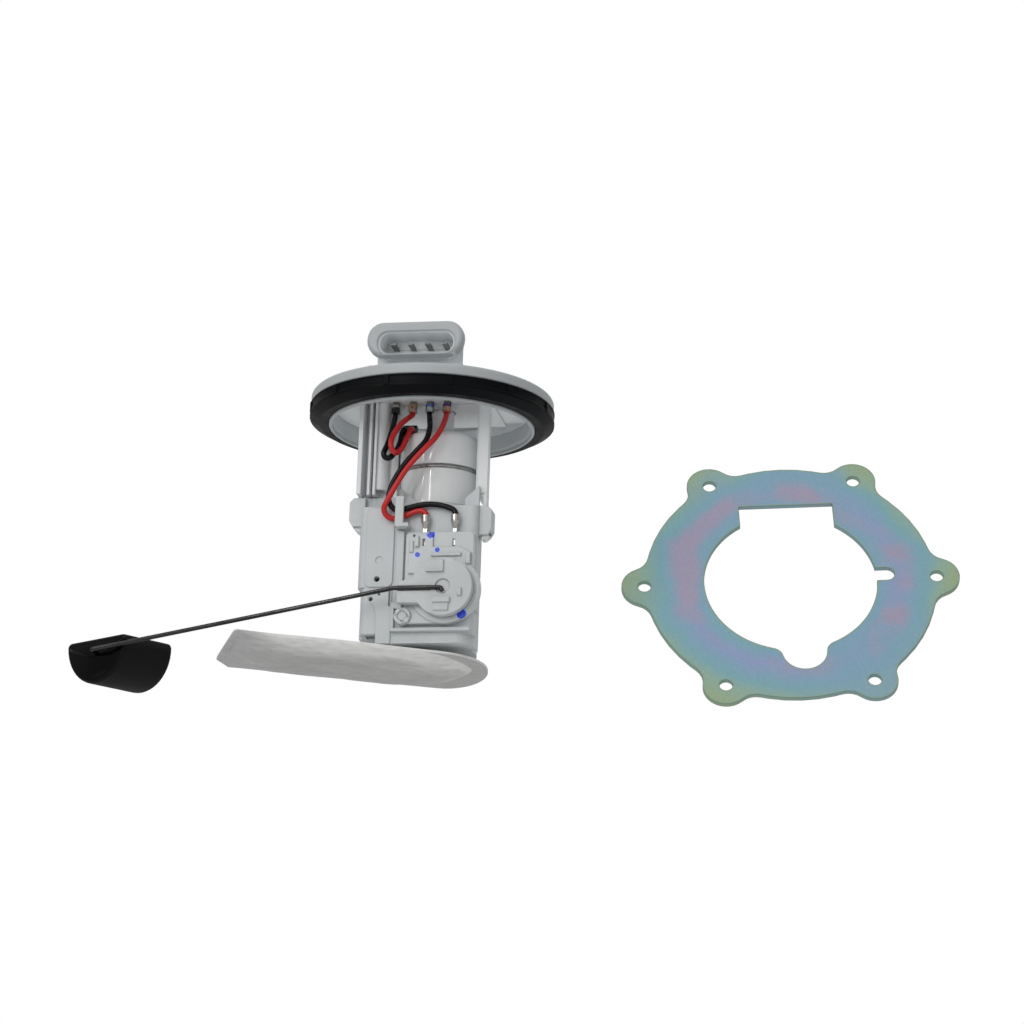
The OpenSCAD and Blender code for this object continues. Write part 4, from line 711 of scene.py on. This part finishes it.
def sock_ends(y):
    """Where the pouch ends at a place across its width: cut corners on the left, a tail on the right."""
    end = SOCK_TAIL - SOCK_LENGTH
    if y < CUT_NEAR:
        left = end + END_SLANT + CUT_NEAR - y
    elif y > CUT_FAR:
        left = end + (y - CUT_FAR) * CUT_SLOPE
    else:
        left = end + END_SLANT * (CUT_FAR - y) / (CUT_FAR - CUT_NEAR)
    reach = NOSE_NEAR if y < 0 else NOSE_FAR
    return left, SOCK_TAIL - reach + reach * math.sqrt(max(0.0, 1 - (y / SOCK_HALF) ** 2))


def smooth(v):
    v = max(0.0, min(1.0, v))
    return v * v * (3 - 2 * v)


def ripple(x, y, along, across, sheet):
    """Smooth noise between -1 and 1, with so many waves in a metre; another sheet gives another noise."""
    return noise.noise(Vector((x * along, y * across, sheet)))


def fullness(x, y, left, right, margin):
    """How full the pouch is, from 0 at its rim to 1 in its belly, and how far in from the tail it is."""
    gaps = {
        "left": x - left - margin * MARGIN_SHARE,
        "tail": right - x - NOSE_RIM - NOSE_POINT * abs(y - NOSE_MIDDLE),
        "near": y + SOCK_HALF - NEAR_RIM,
        "far": SOCK_HALF - FAR_RIM - y,
    }
    full = 1.0
    for side, (width, roundness) in RISES.items():
        share = max(0.0, min(1.0, gaps[side] / width))
        full *= (1 - (1 - share) ** roundness) ** (1 / SQUARENESS)
    return full, gaps["tail"] / RISES["tail"][0]


def pucker(x, y, weld, tail):
    """Pleats about 5 mm apart that start at the pouch's two welded ends."""
    pleats = math.sin(y * 1250 + 4 * noise.noise(Vector((y * 260, 1, 0))))
    at_weld = math.exp(-((x - weld - 0.003) / 0.004) ** 2)
    at_tail = math.exp(-(tail - 0.25) ** 2 / 0.05)
    return pleats * (at_weld + 0.7 * at_tail)


def build_sock(bm):
    """Two felt sheets joined at their rim: a fold along the near side, flat sealed ends, a full belly."""
    thick, margin = sizes().felt_thickness, sizes().felt_margin
    place = Matrix.Translation(SOCK_AT) @ Matrix.Rotation(SOCK_TURN, 4, "Z")
    place = place @ Matrix.Rotation(SOCK_PITCH, 4, "Y") @ Matrix.Rotation(SOCK_ROLL, 4, "X")
    lower_rise = thick - UPPER_GAP - UPPER_RISE - LOWER_GAP

    def on_rim(i, j):
        return i in (0, SOCK_COLUMNS) or j in (0, SOCK_ROWS)

    def point(i, j, top):
        v = -1 + 2 * j / SOCK_ROWS
        y = SOCK_HALF * math.copysign(1 - (1 - abs(v)) ** ROW_CROWDING, v)
        left, right = sock_ends(y)
        x = left + (right - left) * (0.5 - 0.5 * math.cos(math.pi * i / SOCK_COLUMNS))
        full, tail = fullness(x, y, left, right, margin)
        soft = ripple(x, y, 95, 150, 5.0 if top else 11.0)
        fine = ripple(x, y, 420, 420, 3.0 if top else 9.0)
        if top:
            z = SEAM + UPPER_GAP + UPPER_RISE * full
        else:
            pleats = 0.00022 * pucker(x, y, left + margin, tail) * smooth(full * 2)
            z = SEAM - LOWER_GAP - lower_rise * full * (1 + 0.07 * ripple(x, y, 55, 90, 2.0)) - pleats
        z += (0.00028 * soft + 0.00010 * fine) * smooth(full * 1.5)
        if on_rim(i, j):
            z = SEAM
        curl = 0.0006 * ripple(x, y, 40, 40, 20.0) * (1 - full)
        return place @ Vector((x, y, z + curl))

    sheets = []
    for top in (True, False):
        grid = [[sheets[0][i][j] if on_rim(i, j) and not top else bm.verts.new(point(i, j, top))
            for j in range(SOCK_ROWS + 1)] for i in range(SOCK_COLUMNS + 1)]
        for i in range(SOCK_COLUMNS):
            for j in range(SOCK_ROWS):
                quad = (grid[i][j], grid[i + 1][j], grid[i + 1][j + 1], grid[i][j + 1])
                bm.faces.new(quad if top else tuple(reversed(quad)))
        sheets.append(grid)


# Operators

class PUMP_OT_finishes(bpy.types.Operator):
    """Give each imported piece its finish"""

    bl_idname = "pump.finishes"
    bl_label = "Finishes"

    def execute(self, context):
        MATERIALS.update(make_materials())
        for key, names in FINISH.items():
            for name in names:
                set_material(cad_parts[name], MATERIALS[key])
        left = set(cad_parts) - {n for names in FINISH.values() for n in names}
        if left:
            raise RuntimeError(f"no finish for {sorted(left)}")
        return {"FINISHED"}


class PUMP_OT_wires(bpy.types.Operator):
    """Replace the four wires by smooth tubes"""

    bl_idname = "pump.wires"
    bl_label = "Wires"

    def execute(self, context):
        for node, route in ROUTES.items():
            colour = node.split("_")[-1]
            name = node + "_smooth"
            wire = tube(name, smooth_route(route), sizes().wire_radius)
            link_piece(name, wire, "sleeve_" + colour, "module", node)
        return {"FINISHED"}


class PUMP_OT_socket(bpy.types.Operator):
    """Close the plug socket's housing behind its mouth"""

    bl_idname = "pump.socket"
    bl_label = "Socket back"

    def execute(self, context):
        back = mesh_from("socket_back", build_socket_back)
        link_piece("socket_back", back, "flange", "module")
        return {"FINISHED"}


class PUMP_OT_springs(bpy.types.Operator):
    """Replace the two valve springs by coils"""

    bl_idname = "pump.springs"
    bl_label = "Valve springs"

    def execute(self, context):
        for node, joint, travel, fixed, radius, wire, turns in SPRINGS:
            low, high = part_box(node)
            coil = mesh_from(node, lambda bm: build_coil(bm, low, high, radius, wire, turns))
            piece = link_piece(node + "_coil", coil, "steel", "module", node)
            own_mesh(piece)
        return {"FINISHED"}


class PUMP_OT_float(bpy.types.Operator):
    """Replace the float and its arm by rounded pieces"""

    bl_idname = "pump.float"
    bl_label = "Float and arm"

    def execute(self, context):
        hook = (ARM_START[0] + ARM_HOOK_X, ARM_START[1], ARM_START[2] + ARM_HOOK_Z)
        route = [hook, ARM_START, ARM_BEND, ARM_TIP, (ARM_TIP[0], ARM_END_Y, ARM_TIP[2])]
        arm = tube("arm_wire", round_corners(route, ARM_CORNER), ARM_RADIUS)
        link_piece("arm_wire", arm, "rod", "float_lever", "float_arm")
        body = mesh_from("float_body", build_float)
        link_piece("float_body", body, "foam", "float_lever", "float")
        return {"FINISHED"}


class PUMP_OT_strainer(bpy.types.Operator):
    """Replace the strainer's solid by a felt pouch"""

    bl_idname = "pump.strainer"
    bl_label = "Felt strainer"

    def execute(self, context):
        felt_mesh = mesh_from("felt_pouch", build_sock)
        pouch = link_piece("felt_pouch", felt_mesh, "felt", "module", "filter_sock")
        return {"FINISHED"}


# Studio

def view_axes():
    """Right, up and look directions of the photograph's camera."""
    a, e, r = (math.radians(v) for v in (VIEW_AZIMUTH, VIEW_ELEVATION, VIEW_ROLL))
    look = Vector((-math.sin(a) * math.cos(e), math.cos(a) * math.cos(e), -math.sin(e)))
    right = Vector((math.cos(a), math.sin(a), 0))
    up = right.cross(look)
    return right * math.cos(r) + up * math.sin(r), -right * math.sin(r) + up * math.cos(r), look


def make_camera(scene):
    """A camera that puts the flange's middle on its pixel of the photograph."""
    right, up, look = view_axes()
    far = sizes().camera_distance
    metres_per_pixel = far / FOCAL_PIXELS
    across, down = (place - IMAGE_SIZE / 2 for place in AIM_PIXEL)
    eye = Vector(AIM_AT) - look * far - right * (across * metres_per_pixel) + up * (down * metres_per_pixel)
    camera = bpy.data.cameras.new("camera")
    camera.sensor_width = SENSOR
    camera.lens = FOCAL_PIXELS / IMAGE_SIZE * SENSOR
    camera.clip_start, camera.clip_end = 0.05, 20
    obj = link_to_scene("camera", camera)
    obj.matrix_world = Matrix.Translation(eye) @ Matrix((right, up, -look)).transposed().to_4x4()
    scene.camera = obj


def make_floor():
    half, z = FLOOR_HALF, FLOOR_AT
    mesh = bpy.data.meshes.new("floor")
    corners = [(-half, -half, z), (half, -half, z), (half, half, z), (-half, half, z)]
    mesh.from_pydata(corners, [], [(0, 1, 2, 3)])
    floor = link_to_scene("floor", mesh)
    m, t, s = new_material("pale_floor", Roughness=0.9)
    tone = ramp(t, noise_of(t, object_coords(t), 3, 2), [(0.3, 0.80), (0.7, 0.84)])
    t.links.new(tone, s.inputs["Base Color"])
    set_material(floor, m)


def make_surroundings(scene):
    """Soft light that is dimmer from the horizon and the sides, behind a white backdrop."""
    world = bpy.data.worlds.new("surroundings")
    scene.world = world
    world.use_nodes = True
    t = world.node_tree
    way = add(t, "ShaderNodeTexCoord").outputs["Generated"]
    tint = ramp(t, fade(t, part(t, way, "Z"), -1.0, 1.0), [(0.0, 0.60), (0.45, 0.50), (1.0, 0.72)])
    shade = ramp(t, maths(t, "ABSOLUTE", part(t, way, "X")), [(0.35, 1.0), (0.95, 0.45)])
    light = t.nodes["Background"]
    t.links.new(mix_colour(t, 1.0, tint, shade, "MULTIPLY"), light.inputs["Color"])
    light.inputs["Strength"].default_value = WORLD_STRENGTH
    backdrop = add(t, "ShaderNodeBackground", {"Color": (1, 1, 1), "Strength": 1.0})
    seen = add(t, "ShaderNodeLightPath").outputs["Is Camera Ray"]
    both = add(t, "ShaderNodeMixShader", {0: seen, 1: light.outputs[0], 2: backdrop.outputs[0]})
    t.links.new(both.outputs[0], t.nodes["World Output"].inputs[0])


def make_lamp(name, place, aim, size, power):
    """An area lamp that lights a place, and that the camera doesn't see."""
    light = bpy.data.lights.new(name, "AREA")
    light.shape = "RECTANGLE"
    light.size, light.size_y = size
    light.energy = power
    obj = link_to_scene(name, light)
    obj.location = place
    obj.visible_camera = False
    obj.rotation_mode = "QUATERNION"
    obj.rotation_quaternion = (Vector(aim) - Vector(place)).to_track_quat("-Z", "Y")


class PUMP_OT_studio(bpy.types.Operator):
    """Make the camera, the lamps, the pale surroundings and the floor"""

    bl_idname = "pump.studio"
    bl_label = "Studio"

    def execute(self, context):
        scene = context.scene
        make_camera(scene)
        make_floor()
        make_surroundings(scene)
        scene.view_settings.view_transform = "Standard"
        scene.view_settings.look = "None"
        for name, settings in LAMPS.items():
            make_lamp(name, *settings)
        return {"FINISHED"}


class PUMP_PT_panel(bpy.types.Panel):
    """Lists the steps and their settings"""

    bl_idname = "PUMP_PT_panel"
    bl_label = "Fuel pump"
    bl_space_type = "VIEW_3D"
    bl_region_type = "UI"
    bl_category = "Fuel Pump"

    def draw(self, context):
        for group in (context.scene.pump_sizes, context.scene.pump_colours):
            for key in group.__annotations__:
                self.layout.prop(group, key)
        for step in STEPS:
            self.layout.operator(step.bl_idname)


STEPS = (PUMP_OT_studio, PUMP_OT_finishes, PUMP_OT_wires, PUMP_OT_socket, PUMP_OT_springs, PUMP_OT_float,
    PUMP_OT_strainer)
CLASSES = (PumpSizes, PumpColours, *STEPS, PUMP_PT_panel)


def register():
    for cls in CLASSES:
        bpy.utils.register_class(cls)
    bpy.types.Scene.pump_sizes = PointerProperty(type=PumpSizes)
    bpy.types.Scene.pump_colours = PointerProperty(type=PumpColours)


def unregister():
    del bpy.types.Scene.pump_colours
    del bpy.types.Scene.pump_sizes
    for cls in reversed(CLASSES):
        bpy.utils.unregister_class(cls)


def main():
    register()
    bpy.ops.pump.studio()
    bpy.ops.pump.finishes()
    bpy.ops.pump.wires()
    bpy.ops.pump.socket()
    bpy.ops.pump.springs()
    bpy.ops.pump.float()
    bpy.ops.pump.strainer()


if __name__ == "__main__":
    main()
